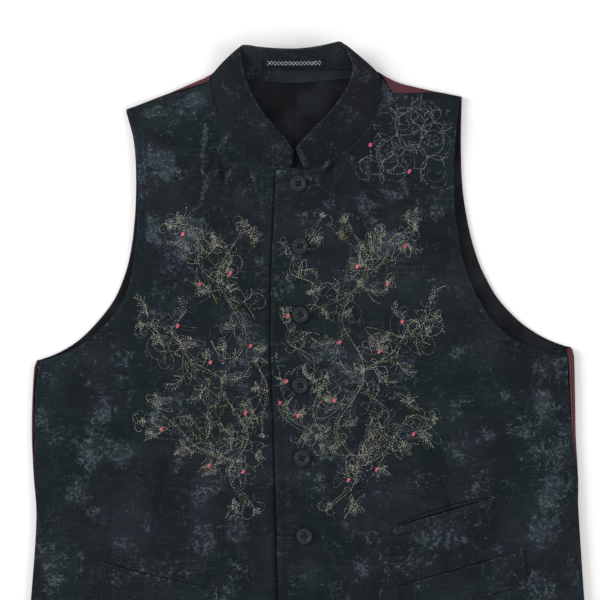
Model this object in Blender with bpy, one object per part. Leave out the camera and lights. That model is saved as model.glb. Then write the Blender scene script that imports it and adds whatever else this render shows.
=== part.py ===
"""A waistcoat with a stand collar, buttoned and laid flat on its back.

+X is to the right as one looks down on the front, +Y points to the neck and +Z up. The table is at
z = 0. All sizes in the tables are millimetres. Right and left in a piece's name are the wearer's, so
the left front lies on the +X side, and laps over the right one.
"""

import math
from collections import namedtuple

import bmesh
import bpy
import numpy as np

for old in list(bpy.data.objects):
    bpy.data.objects.remove(old)

# Driving dimensions
MM = 0.001
HEM_Y = -321.6
GAP = 0.3
BACK_WALL = 1.2
LINING_WALL = 1.0
FRONT_WALL = 1.6
COLLAR_WALL = 2.0
WELT_WALL = 1.2
WELT_GAP = 0.45
LABEL_WALL = 0.6
FRONT_TOP = 7.0
EDGE_DROP = 1.4
LAP_DROP = 2.1
ROLL_RADIUS = 2.8
FULL_LIP = 4.0
FLAT_LIP = 0.5
FLAT_EDGE = 0.2
BUTTON_RADIUS = 7.8
BUTTON_THICKNESS = 3.0
HOLE_RADIUS = 0.9
HOLE_OFFSET = 1.9
BUTTON_SIDES = 20
HOLE_SIDES = 8
LINING_SIDE_INSET = 4.5
LINING_EDGE_INSET = 0.5
LINING_TOP_INSET = 1.4
CENTRE_BACK_X = -11.8
FACING_WIDTH = 12.5
FACING_INSET = 2.8

# Colours, from the cloth's own shades
INK = (0.016, 0.020, 0.024, 1)
CRIMSON = (0.15, 0.022, 0.036, 1)
BLACK = (0.010, 0.010, 0.011, 1)
CHARCOAL = (0.017, 0.020, 0.022, 1)
HORN = (0.030, 0.030, 0.034, 1)

# A section runs across a front, from its inner edge (centre front, then neckline) to its outer edge
# (side seam, then armhole). A corner is where an edge turns sharply.
Section = namedtuple("Section", "inner_x inner_y outer_x outer_y corner")
LEFT_SECTIONS = [
    Section(-25.4, HEM_Y, 277.2, HEM_Y, ""),
    Section(-26.4, -270.0, 275.0, -278.0, ""),
    Section(-28.3, -208.0, 269.6, -215.0, ""),
    Section(-29.6, -146.0, 263.6, -142.0, ""),
    Section(-30.3, -112.0, 261.8, -98.0, ""),
    Section(-31.0, -90.0, 259.1, -64.0, ""),
    Section(-31.3, -70.0, 256.4, -28.0, ""),
    Section(-31.4, -50.0, 254.2, 21.5, "outer"),
    Section(-31.4, -30.0, 228.4, 22.8, ""),
    Section(-31.4, -6.0, 204.4, 31.4, ""),
    Section(-31.4, 16.0, 188.7, 43.2, ""),
    Section(-31.3, 38.0, 175.0, 58.8, ""),
    Section(-31.3, 70.0, 161.4, 84.3, ""),
    Section(-31.0, 108.0, 152.6, 109.0, ""),
    Section(-30.6, 150.0, 147.9, 133.0, ""),
    Section(-30.3, 197.6, 145.0, 155.0, "inner"),
    Section(-2.5, 197.8, 143.9, 170.0, ""),
    Section(10.9, 201.4, 143.5, 182.0, ""),
    Section(24.0, 208.2, 143.4, 192.0, ""),
    Section(36.8, 216.7, 143.5, 201.0, ""),
    Section(48.5, 226.0, 144.0, 211.0, ""),
    Section(59.4, 237.8, 145.0, 224.0, ""),
    Section(67.7, 251.7, 146.3, 240.0, ""),
    Section(72.6, 266.0, 148.0, 256.0, ""),
    Section(75.6, 281.0, 150.4, 268.3, ""),
]
RIGHT_SECTIONS = [
    Section(20.5, HEM_Y, -277.2, HEM_Y, ""),
    Section(19.4, -270.0, -275.1, -278.0, ""),
    Section(18.0, -208.0, -269.2, -213.0, ""),
    Section(16.6, -146.0, -264.6, -142.0, ""),
    Section(16.0, -110.0, -266.7, -103.0, ""),
    Section(15.4, -84.0, -266.6, -62.0, ""),
    Section(15.0, -62.0, -265.8, -25.0, ""),
    Section(14.7, -42.0, -263.6, 9.6, "outer"),
    Section(14.5, -26.0, -235.7, 18.7, ""),
    Section(14.3, -6.0, -216.2, 29.5, ""),
    Section(14.2, 14.0, -202.5, 41.2, ""),
    Section(14.0, 38.0, -186.8, 58.8, ""),
    Section(13.8, 64.0, -177.0, 75.5, ""),
    Section(13.5, 98.0, -170.2, 103.8, ""),
    Section(13.1, 142.0, -166.9, 129.2, ""),
    Section(12.7, 195.5, -165.6, 158.0, "inner"),
    Section(-14.9, 199.9, -165.3, 174.0, ""),
    Section(-29.6, 201.3, -165.4, 186.0, ""),
    Section(-44.4, 206.3, -166.0, 197.0, ""),
    Section(-59.3, 215.8, -166.7, 207.5, ""),
    Section(-71.0, 227.1, -167.5, 218.0, ""),
    Section(-80.9, 240.9, -169.0, 230.0, ""),
    Section(-88.8, 256.2, -171.8, 243.0, ""),
    Section(-94.6, 272.0, -175.0, 252.0, ""),
    Section(-97.2, 283.0, -176.8, 256.6, ""),
]

# How far the left shoulder seam dips below a straight line, by the share of the way to the armhole
ShoulderDip = namedtuple("ShoulderDip", "share dip")
LEFT_SHOULDER = [
    ShoulderDip(0.0, 0.0),
    ShoulderDip(0.07, 3.6),
    ShoulderDip(0.2, 7.4),
    ShoulderDip(0.45, 4.6),
    ShoulderDip(0.75, 1.2),
    ShoulderDip(1.0, 0.0),
]

# The back's outline, and how much of it rolls up round each side. A lip of 0 is a flat armhole edge.
BackSection = namedtuple("BackSection", "right_x right_y right_lip left_x left_y left_lip")
BACK_SECTIONS = [
    BackSection(-277.0, HEM_Y, 4.6, 277.0, HEM_Y, 4.6),
    BackSection(-274.9, -281.5, 4.6, 274.9, -281.5, 4.6),
    BackSection(-268.3, -203.3, 4.6, 268.2, -203.3, 4.6),
    BackSection(-264.5, -142.0, 4.6, 263.4, -142.0, 4.6),
    BackSection(-267.4, -104.0, 5.2, 264.3, -104.0, 6.0),
    BackSection(-269.4, -62.0, 7.0, 263.1, -62.0, 9.4),
    BackSection(-268.9, -27.0, 7.2, 262.4, -22.0, 11.4),
    BackSection(-267.0, 4.5, 7.2, 261.4, 16.0, 12.2),
    BackSection(-264.6, 10.6, 1.0, 258.6, 23.0, 1.0),
    BackSection(-241.6, 19.7, 0.0, 236.7, 31.4, 0.0),
    BackSection(-223.0, 31.4, 0.0, 220.5, 40.3, 0.0),
    BackSection(-203.4, 51.0, 0.0, 206.3, 51.0, 0.0),
    BackSection(-188.8, 70.6, 0.0, 187.8, 70.6, 0.0),
    BackSection(-180.0, 90.1, 0.0, 176.0, 90.1, 0.0),
    BackSection(-174.1, 109.7, 0.0, 167.2, 109.7, 0.0),
    BackSection(-169.4, 140.0, 0.0, 158.6, 140.0, 0.0),
    BackSection(-167.2, 180.0, 0.0, 152.2, 180.0, 0.0),
    BackSection(-169.2, 222.0, 0.0, 150.6, 225.0, 0.0),
    BackSection(-176.6, 254.0, 0.0, 151.4, 266.8, 0.0),
]
TOP_BEND_FROM = 11.0

# The back's top fold: the right shoulder, the back neck and the left shoulder, with the cloth that
# rolls over each point of it
TopFold = namedtuple("TopFold", "x y lip")
TOP_FOLD = [
    TopFold(-176.6, 256.8, 4.6),
    TopFold(-154.5, 265.6, 4.6),
    TopFold(-134.0, 273.4, 6.0),
    TopFold(-114.4, 281.8, 9.6),
    TopFold(-99.5, 288.3, 11.2),
    TopFold(-93.0, 292.4, 4.4),
    TopFold(-84.0, 296.2, 4.4),
    TopFold(-60.0, 297.5, 4.4),
    TopFold(-11.0, 297.5, 4.4),
    TopFold(38.0, 297.5, 4.4),
    TopFold(62.0, 296.4, 4.4),
    TopFold(71.5, 293.0, 4.4),
    TopFold(77.4, 289.0, 13.0),
    TopFold(84.5, 285.4, 16.0),
    TopFold(92.0, 282.3, 15.4),
    TopFold(110.5, 277.9, 11.6),
    TopFold(128.1, 274.0, 8.8),
    TopFold(151.4, 269.6, 4.6),
]

# The collar as a band: its seam on the body and its free top edge, from one front end to the other
CollarSection = namedtuple("CollarSection", "seam_x seam_y seam_z edge_x edge_y edge_z")
COLLAR_SECTIONS = [
    CollarSection(-15.2, 200.5, 5.3, -13.0, 216.6, 9.8),
    CollarSection(-29.4, 202.1, 5.8, -20.5, 227.1, 12.0),
    CollarSection(-44.0, 207.0, 6.6, -30.3, 238.2, 13.5),
    CollarSection(-58.7, 216.3, 7.0, -39.5, 249.3, 15.0),
    CollarSection(-70.4, 227.5, 7.0, -47.8, 260.9, 16.0),
    CollarSection(-80.2, 241.2, 7.0, -54.1, 272.9, 17.5),
    CollarSection(-88.0, 256.4, 6.8, -59.4, 285.5, 19.0),
    CollarSection(-92.6, 270.4, 6.2, -62.7, 298.0, 20.5),
    CollarSection(-94.4, 282.0, 5.6, -64.8, 309.5, 22.0),
    CollarSection(-93.4, 291.0, 4.6, -64.0, 317.8, 22.0),
    CollarSection(-86.5, 295.4, 3.8, -58.3, 318.6, 22.8),
    CollarSection(-75.0, 297.0, 3.4, -49.5, 317.0, 25.5),
    CollarSection(-59.0, 297.3, 3.4, -38.8, 315.6, 28.0),
    CollarSection(-36.2, 297.3, 3.4, -25.3, 314.6, 30.0),
    CollarSection(-11.0, 297.3, 3.4, -11.7, 314.4, 30.5),
    CollarSection(14.7, 297.3, 3.4, -0.1, 315.3, 30.0),
    CollarSection(37.2, 297.3, 3.4, 9.6, 316.8, 28.5),
    CollarSection(53.8, 296.6, 3.4, 18.3, 318.7, 26.0),
    CollarSection(65.4, 294.6, 3.7, 26.1, 320.8, 23.4),
    CollarSection(71.6, 290.8, 4.4, 33.0, 321.6, 22.2),
    CollarSection(73.4, 284.6, 5.2, 40.2, 310.4, 22.5),
    CollarSection(73.4, 277.4, 5.8, 44.8, 297.9, 21.5),
    CollarSection(71.9, 266.2, 6.4, 42.7, 286.3, 20.5),
    CollarSection(67.0, 252.0, 6.9, 37.4, 275.3, 19.0),
    CollarSection(58.7, 238.3, 7.0, 30.6, 264.7, 17.5),
    CollarSection(47.9, 226.6, 7.0, 22.3, 254.0, 16.5),
    CollarSection(36.2, 217.3, 7.0, 13.6, 244.9, 15.5),
    CollarSection(23.5, 208.9, 7.0, 4.8, 236.2, 14.5),
    CollarSection(10.7, 202.1, 7.0, -3.9, 227.0, 13.5),
    CollarSection(-2.5, 198.6, 7.0, -11.4, 218.2, 12.5),
]
COLLAR_BOW = 1.2

# The soft folds of the cloth, each a ridge from one point to another
Fold = namedtuple("Fold", "from_x from_y to_x to_y width height")
FOLDS = [
    Fold(44.0, 206.0, 8.0, 168.0, 7.0, 2.2),
    Fold(66.0, 190.0, 26.0, 120.0, 12.0, 1.4),
    Fold(-70.0, 214.0, -92.0, 150.0, 7.0, 1.7),
    Fold(-90.0, 226.0, -122.0, 160.0, 8.0, 1.4),
    Fold(-54.0, 192.0, -64.0, 120.0, 8.0, 1.2),
    Fold(96.0, 224.0, 122.0, 160.0, 10.0, 1.3),
    Fold(-176.0, 40.0, -120.0, -10.0, 12.0, 1.4),
    Fold(170.0, 40.0, 112.0, -16.0, 12.0, 1.4),
    Fold(-250.0, -132.0, -196.0, -118.0, 11.0, 1.3),
    Fold(246.0, -134.0, 190.0, -112.0, 11.0, 1.3),
    Fold(-140.0, -60.0, -154.0, -172.0, 14.0, 0.9),
    Fold(124.0, -60.0, 152.0, -172.0, 14.0, 0.9),
]

# Each welt by the two ends of its top edge, its depth at both ends and how far its top edge sags
Welt = namedtuple("Welt", "name start_x start_y end_x end_y depth lean sag")
WELTS = [
    Welt("welt_upper", 84.1, -151.6, 180.9, -122.8, 8.6, 1.0, 0.0),
    Welt("welt_lower_left", 69.6, -214.2, 211.0, -173.4, 33.2, 3.4, 0.8),
    Welt("welt_lower_right", -221.0, -178.8, -87.1, -212.3, 35.0, -1.9, 2.2),
]

# The buttons' centres, from the neck down
Button = namedtuple("Button", "x y")
BUTTONS = [
    Button(-8.6, 184.3),
    Button(-6.9, 123.4),
    Button(-6.5, 56.1),
    Button(-6.5, -12.8),
    Button(-4.9, -84.0),
    Button(-2.6, -160.2),
    Button(-0.5, -239.5),
]


# Curves and heights
def smoothstep(low, high, value):
    """0 below low, 1 above high, and an even change between."""
    share = np.clip((np.asarray(value, float) - low) / (high - low), 0, 1)
    return share * share * (3 - 2 * share)


def unit(vector):
    return vector / max(np.linalg.norm(vector), 1e-9)


def curve_point(points, station, corners=()):
    """A smooth curve through the points, read at a station counted in points, sharp at the corners."""
    last = len(points) - 1
    index = min(int(station), last - 1)
    share = station - index
    start, end = points[index], points[index + 1]
    chord = np.linalg.norm(end - start)
    before = points[index - 1] if index > 0 and index not in corners else start
    after = points[index + 2] if index + 2 <= last and index + 1 not in corners else end
    leave = unit(end - before) * chord
    arrive = unit(after - start) * chord
    square, cube = share * share, share**3
    return (
        (2 * cube - 3 * square + 1) * start
        + (cube - 2 * square + share) * leave
        + (3 * square - 2 * cube) * end
        + (cube - square) * arrive
    )


def stations(edges, spacing):
    """Stations along some edges, about a spacing apart, that include every table row."""
    found = [0.0]
    for index in range(len(edges[0]) - 1):
        longest = max(np.linalg.norm(edge[index + 1] - edge[index]) for edge in edges)
        steps = max(1, round(longest / spacing))
        found += [index + (step + 1) / steps for step in range(steps)]
    return found


def folds_height(x, y):
    """The height that the soft folds add: a ridge that fades at both ends."""
    total = np.zeros(np.shape(x))
    for fold in FOLDS:
        along = np.array([fold.to_x - fold.from_x, fold.to_y - fold.from_y])
        length = np.linalg.norm(along)
        along = along / length
        travel = (x - fold.from_x) * along[0] + (y - fold.from_y) * along[1]
        aside = (x - fold.from_x) * along[1] - (y - fold.from_y) * along[0]
        fade = smoothstep(0, 0.4 * length, travel) * smoothstep(0, 0.5 * length, length - travel)
        total = total + fold.height * fade * np.exp(-((aside / fold.width) ** 2))
    return total


def front_top(x, y, lapped):
    """The height of a front's outer side: level, lower at its side, shoulder and hem, and under the lap."""
    x, y = np.asarray(x, float), np.asarray(y, float)
    shoulder = np.where(x < 0, 257.4 + 0.4015 * (x + 177), 270.1 - 0.259 * (x - 151.6))
    height = FRONT_TOP - EDGE_DROP * smoothstep(236, 263, np.abs(x))
    height = height - EDGE_DROP * smoothstep(-32, -4, y - shoulder)
    height = height - 0.6 * EDGE_DROP * smoothstep(-HEM_Y - 22, -HEM_Y, -y)
    if not lapped:
        return height + folds_height(x, y)
    height = height - LAP_DROP * smoothstep(-74, -36, x)
    return height + folds_height(x, y) * (1 - smoothstep(-62, -38, x))


# Meshes
def cloth_material(name, colour, roughness):
    material = bpy.data.materials.new(name)
    material.use_nodes = True
    shader = material.node_tree.nodes["Principled BSDF"]
    shader.inputs["Base Color"].default_value = colour
    shader.inputs["Roughness"].default_value = roughness
    shader.inputs["Metallic"].default_value = 0
    material.diffuse_color = colour
    return material


FRONT_CLOTH = cloth_material("worn_twill", INK, 0.85)
BACK_CLOTH = cloth_material("striped_back", CRIMSON, 0.7)
LINING_CLOTH = cloth_material("lining_satin", BLACK, 0.5)
COLLAR_CLOTH = cloth_material("collar_twill", CHARCOAL, 0.85)
BUTTON_HORN = cloth_material("button_horn", HORN, 0.4)


def solid(name, points, faces, material):
    """One closed solid from points in millimetres, with its faces turned outwards."""
    mesh = bpy.data.meshes.new(name)
    mesh.from_pydata([tuple(point) for point in np.asarray(points) * MM], [], faces)
    work = bmesh.new()
    work.from_mesh(mesh)
    if work.calc_volume(signed=True) < 0:
        bmesh.ops.reverse_faces(work, faces=work.faces)
    work.to_mesh(mesh)
    work.free()
    mesh.shade_smooth()
    mesh.set_sharp_from_angle(angle=math.radians(50))
    mesh.materials.append(material)
    made = bpy.data.objects.new(name, mesh)
    bpy.context.scene.collection.objects.link(made)
    return made


def grid_normals(grid):
    """A unit normal at each point of a grid, square to its rows and columns."""
    by_row, by_column = np.gradient(grid, axis=0), np.gradient(grid, axis=1)
    normals = np.cross(by_column, by_row)
    return normals / np.linalg.norm(normals, axis=2, keepdims=True)


def wall(name, outer, inner, material):
    """The closed solid between two grids of the same size."""
    rows, columns = outer.shape[:2]
    count = rows * columns
    faces = []
    for row in range(rows - 1):
        for column in range(columns - 1):
            a = row * columns + column
            b, c, d = a + 1, a + columns + 1, a + columns
            faces += [(a, b, c, d), (count + d, count + c, count + b, count + a)]
    rim = [column for column in range(columns)]
    rim += [row * columns + columns - 1 for row in range(1, rows)]
    rim += [(rows - 1) * columns + column for column in range(columns - 2, -1, -1)]
    rim += [row * columns for row in range(rows - 2, 0, -1)]
    for here, there in zip(rim, rim[1:] + rim[:1]):
        faces.append((there, here, count + here, count + there))
    points = np.concatenate([outer.reshape(-1, 3), inner.reshape(-1, 3)])
    return solid(name, points, faces, material)


# The fronts
def front_grid(sections, spacing, columns, dips, lapped):
    """The outer side of a front: rows from hem to shoulder, columns from inner edge to outer edge."""
    inner = [np.array([s.inner_x, s.inner_y]) for s in sections]
    outer = [np.array([s.outer_x, s.outer_y]) for s in sections]
    inner_corners = [i for i, s in enumerate(sections) if s.corner == "inner"]
    outer_corners = [i for i, s in enumerate(sections) if s.corner == "outer"]
    across = np.linspace(0, 1, columns)
    dip = np.interp(across, [d.share for d in dips], [d.dip for d in dips])
    rows = []
    for station in stations([inner, outer], spacing):
        start = curve_point(inner, station, inner_corners)
        end = curve_point(outer, station, outer_corners)
        row = start + (end - start) * across[:, None]
        row[:, 1] -= dip * smoothstep(len(sections) - 7, len(sections) - 1, station)
        rows.append(row)
    flat = np.array(rows)
    height = front_top(flat[:, :, 0], flat[:, :, 1], lapped)
    return np.concatenate([flat, height[:, :, None]], axis=2)


def make_front(name, sections, dips, lapped):
    grid = front_grid(sections, 17.0, 15, dips, lapped)
    normals = grid_normals(grid)
    normals *= np.sign(normals[:, :, 2:])
    return wall(name, grid, grid - FRONT_WALL * normals, FRONT_CLOTH)


# The back and its lining
BACK_RIGHT = [np.array([s.right_x, s.right_y]) for s in BACK_SECTIONS]
BACK_LEFT = [np.array([s.left_x, s.left_y]) for s in BACK_SECTIONS]
LAST_BACK = len(BACK_SECTIONS) - 1


def back_edges(station):
    """The back's two edge points and their rolled lips at a station."""
    numbers = range(len(BACK_SECTIONS))
    right_lip = np.interp(station, numbers, [s.right_lip for s in BACK_SECTIONS])
    left_lip = np.interp(station, numbers, [s.left_lip for s in BACK_SECTIONS])
    return curve_point(BACK_RIGHT, station), curve_point(BACK_LEFT, station), (right_lip, left_lip)


def top_rise(x, station):
    """How far the back's rows bow up towards its top fold, at a place across it."""
    fold = np.interp(x, [f.x for f in TOP_FOLD], [f.y for f in TOP_FOLD]) - ROLL_RADIUS
    right, left = BACK_RIGHT[-1], BACK_LEFT[-1]
    straight = right[1] + (left[1] - right[1]) * (x - right[0]) / (left[0] - right[0])
    bend = np.clip((station - TOP_BEND_FROM) / (LAST_BACK - TOP_BEND_FROM), 0, 1)
    return (fold - straight) * bend**2


def rolled(length):
    """How far out and up a point lies that is this far along the cloth from where it leaves the table."""
    turn = np.clip(length / ROLL_RADIUS, 0, math.pi)
    beyond = np.maximum(length - math.pi * ROLL_RADIUS, 0)
    return ROLL_RADIUS * np.sin(turn) - beyond, ROLL_RADIUS * (1 - np.cos(turn))


def side_lip(x, y, lip, side, lip_steps):
    """The points of a row that roll up round one side. An armhole edge keeps them flat and close."""
    points = []
    for step in lip_steps:
        out, up = rolled(lip * step)
        out = out if lip > FLAT_LIP else FLAT_EDGE * step
        points.append((x + side * out, y, up))
    return points


def back_row(station, shares, lip_steps):
    """One row of the back's underside, with both side lips rolled up."""
    right, left, (right_lip, left_lip) = back_edges(station)
    start_x = right[0] + ROLL_RADIUS * min(1, right_lip / FULL_LIP)
    end_x = left[0] - ROLL_RADIUS * min(1, left_lip / FULL_LIP)
    x = start_x + (end_x - start_x) * shares
    y = right[1] + (left[1] - right[1]) * shares
    y = y + top_rise(right[0] + (left[0] - right[0]) * shares, station)
    before = side_lip(start_x, y[0], right_lip, -1, lip_steps)
    after = side_lip(end_x, y[-1], left_lip, 1, lip_steps)
    return before[::-1] + [(x[i], y[i], 0.0) for i in range(len(shares))] + after


def make_back():
    lip_steps = np.linspace(0.2, 1, 5)
    shares = np.array([f.x - TOP_FOLD[0].x for f in TOP_FOLD]) / (TOP_FOLD[-1].x - TOP_FOLD[0].x)
    chosen = stations([BACK_RIGHT, BACK_LEFT], 34.0)
    rows = [back_row(station, shares, lip_steps) for station in chosen]
    crest = np.array(rows[-1])
    lips = np.interp(crest[:, 0], [f.x for f in TOP_FOLD], [f.lip for f in TOP_FOLD])
    for step in lip_steps:
        out, up = rolled(lips * step)
        rows.append(np.column_stack([crest[:, 0], crest[:, 1] + out, up]))
    outer = np.array(rows, float)
    normals = grid_normals(outer)
    middle = outer.shape[1] // 2
    normals *= -np.sign(normals[0, middle, 2])
    return wall("back", outer, outer - BACK_WALL * normals, BACK_CLOTH)


def lining_grid(side, spacing, columns):
    """Half of the back lining, from the centre-back seam to the side or armhole."""
    rows = []
    for station in stations([BACK_RIGHT, BACK_LEFT], spacing):
        right, left, lips = back_edges(station)
        sidelong = smoothstep(0, FULL_LIP, lips[0 if side < 0 else 1])
        inset = LINING_EDGE_INSET + (LINING_SIDE_INSET - LINING_EDGE_INSET) * sidelong
        outer_x = right[0] + inset if side < 0 else left[0] - inset
        x = np.linspace(CENTRE_BACK_X + side * GAP / 2, outer_x, columns)
        share = (x - right[0]) / (left[0] - right[0])
        y = right[1] + (left[1] - right[1]) * share + top_rise(x, station)
        rows.append(np.column_stack([x, y]))
    flat = np.array(rows)
    flat[0, :, 1] += LINING_SIDE_INSET
    flat[-1, :, 1] -= LINING_TOP_INSET
    level = np.full(flat.shape[:2] + (1,), BACK_WALL + GAP + LINING_WALL)
    return np.concatenate([flat, level], axis=2)


def make_lining(name, side):
    top = lining_grid(side, 30.0, 8)
    return wall(name, top, top - np.array([0, 0, LINING_WALL]), LINING_CLOTH)


# The collar, its facing and its label
def collar_grid(spacing, rises):
    """The collar's outer side: a row for each place along it, a column for each share of its height."""
    seam = [np.array([s.seam_x, s.seam_y, s.seam_z]) for s in COLLAR_SECTIONS]
    edge = [np.array([s.edge_x, s.edge_y, s.edge_z]) for s in COLLAR_SECTIONS]
    rows = []
    for station in stations([seam, edge], spacing):
        low, high = curve_point(seam, station), curve_point(edge, station)
        rows.append(low + (high - low) * rises[:, None])
    grid = np.array(rows)
    bow = COLLAR_BOW * 4 * rises * (1 - rises)
    return grid + collar_normals(grid) * bow[None, :, None]


def collar_normals(grid):
    """Normals that point out of the neck: up at the front ends and away from it at the back."""
    normals = grid_normals(grid)
    return normals * np.sign(normals[0, 0, 2])


def make_collar():
    outer = collar_grid(9.0, np.linspace(0, 1, 5))
    return wall("collar", outer, outer - COLLAR_WALL * collar_normals(outer), COLLAR_CLOTH)


def make_facing():
    """A band that follows the neck seam inside the back."""
    chosen = COLLAR_SECTIONS[6:24]
    seam = [np.array([s.seam_x, s.seam_y]) for s in chosen]
    middle = np.array([CENTRE_BACK_X, 258.0])
    rows = []
    for station in stations([seam], 14.0):
        point = curve_point(seam, station)
        inwards = unit((middle - point) * np.array([1.0, 1.6]))
        rows.append([point + inwards * (FACING_INSET + FACING_WIDTH * share) for share in (0, 0.5, 1)])
    flat = np.array(rows)
    level = np.full(flat.shape[:2] + (1,), BACK_WALL + LINING_WALL + 2 * GAP + LINING_WALL)
    top = np.concatenate([flat, level], axis=2)
    return wall("neck_facing", top, top - np.array([0, 0, LINING_WALL]), COLLAR_CLOTH)


def make_label():
    """A flat woven label on the inside of the collar's back, low down."""
    rises = np.linspace(0.1, 0.56, 4)
    grid = collar_grid(6.0, np.array([0.0, *rises, 1.0]))
    normals = collar_normals(grid)
    lower = grid - (COLLAR_WALL + GAP) * normals
    keep = (grid[:, 0, 0] > -44) & (grid[:, 0, 0] < 21) & (grid[:, 0, 1] > 290)
    upper = lower - LABEL_WALL * normals
    return wall("label", upper[keep][:, 1:-1], lower[keep][:, 1:-1], LINING_CLOTH)


# Welts and buttons
def make_welt(welt):
    """A strip on a front, made from that front's surface moved out."""
    columns = 13
    rows = 2 if welt.depth < 20 else 4
    lapped = welt.start_x < 0
    grid = []
    for down in np.linspace(0, 1, rows):
        share = np.linspace(0, 1, columns)
        x = welt.start_x + (welt.end_x - welt.start_x) * share + welt.lean * down
        y = welt.start_y + (welt.end_y - welt.start_y) * share
        y = y - welt.sag * 4 * share * (1 - share) - welt.depth * down
        grid.append(np.column_stack([x, y, front_top(x, y, lapped) + WELT_GAP]))
    lower = np.array(grid)
    return wall(welt.name, lower + np.array([0, 0, WELT_WALL]), lower, FRONT_CLOTH)


def ring(radius, height, sides):
    turns = [2 * math.pi * step / sides for step in range(sides)]
    return [(radius * math.cos(turn), radius * math.sin(turn), height) for turn in turns]


def lathe(name, profile, sides, material):
    """A turned solid. The profile runs from the middle of the bottom round to the middle of the top."""
    points = [point for radius, height in profile for point in ring(radius, height, sides)]
    faces = [tuple(range(sides))[::-1]]
    for level in range(len(profile) - 1):
        for step in range(sides):
            a, b = level * sides + step, level * sides + (step + 1) % sides
            faces.append((a, b, b + sides, a + sides))
    last = (len(profile) - 1) * sides
    faces.append(tuple(range(last, last + sides)))
    return solid(name, points, faces, material)


def make_hole_cutter(name):
    """Four round pins that pierce a button."""
    pin = [(HOLE_RADIUS, -2.0), (HOLE_RADIUS, BUTTON_THICKNESS + 2.0)]
    cutter = lathe(name, pin, HOLE_SIDES, BUTTON_HORN)
    work = bmesh.new()
    for x, y in ((1, 1), (1, -1), (-1, 1), (-1, -1)):
        before = len(work.verts)
        work.from_mesh(cutter.data)
        work.verts.ensure_lookup_table()
        shift = (x * HOLE_OFFSET * MM, y * HOLE_OFFSET * MM, 0)
        bmesh.ops.translate(work, verts=work.verts[before:], vec=shift)
    work.to_mesh(cutter.data)
    work.free()
    cutter.hide_render = True
    cutter.display_type = "WIRE"
    return cutter


def make_button(number, place):
    """A four-hole button with a rounded rim and a dished middle, that rests on the lapped front."""
    full, thick = BUTTON_RADIUS, BUTTON_THICKNESS
    profile = [
        (0.72 * full, 0.0),
        (0.96 * full, 0.3 * thick),
        (full, 0.55 * thick),
        (0.93 * full, 0.88 * thick),
        (0.8 * full, thick),
        (0.62 * full, 0.9 * thick),
        (0.5 * full, 0.66 * thick),
        (0.44 * full, 0.62 * thick),
    ]
    button = lathe(f"button_{number}", profile, BUTTON_SIDES, BUTTON_HORN)
    turns = np.linspace(0, 2 * math.pi, 17)
    under_x = place.x + np.outer([0, 0.5, 1], full * np.cos(turns))
    under_y = place.y + np.outer([0, 0.5, 1], full * np.sin(turns))
    seat = front_top(under_x, under_y, False).max() + GAP
    button.location = (place.x * MM, place.y * MM, seat * MM)
    pins = make_hole_cutter(f"hole_cutter_{number}")
    pins.parent = button
    holes = button.modifiers.new("holes", "BOOLEAN")
    holes.solver = "EXACT"
    holes.object = pins


STRAIGHT = [ShoulderDip(0.0, 0.0), ShoulderDip(1.0, 0.0)]
make_back()
make_lining("lining_right", -1)
make_lining("lining_left", 1)
make_facing()
make_front("front_right", RIGHT_SECTIONS, STRAIGHT, True)
make_front("front_left", LEFT_SECTIONS, LEFT_SHOULDER, False)
make_collar()
make_label()
for welt in WELTS:
    make_welt(welt)
for number, place in enumerate(BUTTONS, 1):
    make_button(number, place)
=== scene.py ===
# %% [markdown]
# # A waistcoat with a stand collar
#
# The real thing is a sleeveless garment of thin cloth that lies buttoned on its back. Its fronts are
# worn dark twill, its back is crimson with dark stripes, and it is lined with black satin. The model's
# solids arrive ready made, all of them in one frame: +X is to the right as one looks down on the
# front, +Y points to the neck and +Z up, in metres. Right and left in a name are the wearer's. This
# lesson dresses those solids: each cloth piece gets a finer shell of the same form, with its folds,
# turned edges and stitches, and a finish made of shader nodes.

import math
from collections import namedtuple

import bpy
import numpy as np
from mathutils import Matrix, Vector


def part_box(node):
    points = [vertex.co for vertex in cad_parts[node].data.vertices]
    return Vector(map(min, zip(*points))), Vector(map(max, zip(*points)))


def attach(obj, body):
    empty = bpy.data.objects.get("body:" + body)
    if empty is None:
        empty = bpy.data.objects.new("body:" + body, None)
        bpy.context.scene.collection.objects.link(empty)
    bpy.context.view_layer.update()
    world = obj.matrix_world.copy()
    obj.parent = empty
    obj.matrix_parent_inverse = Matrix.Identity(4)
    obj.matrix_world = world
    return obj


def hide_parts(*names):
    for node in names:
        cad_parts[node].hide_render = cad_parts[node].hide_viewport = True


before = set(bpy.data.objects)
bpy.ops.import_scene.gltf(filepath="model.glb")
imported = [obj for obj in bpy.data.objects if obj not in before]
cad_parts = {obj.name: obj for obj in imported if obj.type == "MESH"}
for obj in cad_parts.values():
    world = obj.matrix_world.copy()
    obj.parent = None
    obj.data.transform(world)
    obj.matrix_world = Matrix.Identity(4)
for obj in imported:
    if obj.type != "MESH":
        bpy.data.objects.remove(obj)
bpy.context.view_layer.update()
print("solids:", ", ".join(sorted(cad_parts)))

# %% [markdown]
# ## Shader sums written as Python
#
# A finish is a web of nodes, and a web is hard to read when each node takes four lines. One small
# class wraps an output socket and turns + - * / % into Math nodes, so a mask can be written as
# `1 - wear * 0.4`. Everything that isn't arithmetic goes through `Finish.node`, which takes a node's
# type, its settings and its sockets. What is the same all over a piece is a number on the shader.


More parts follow.
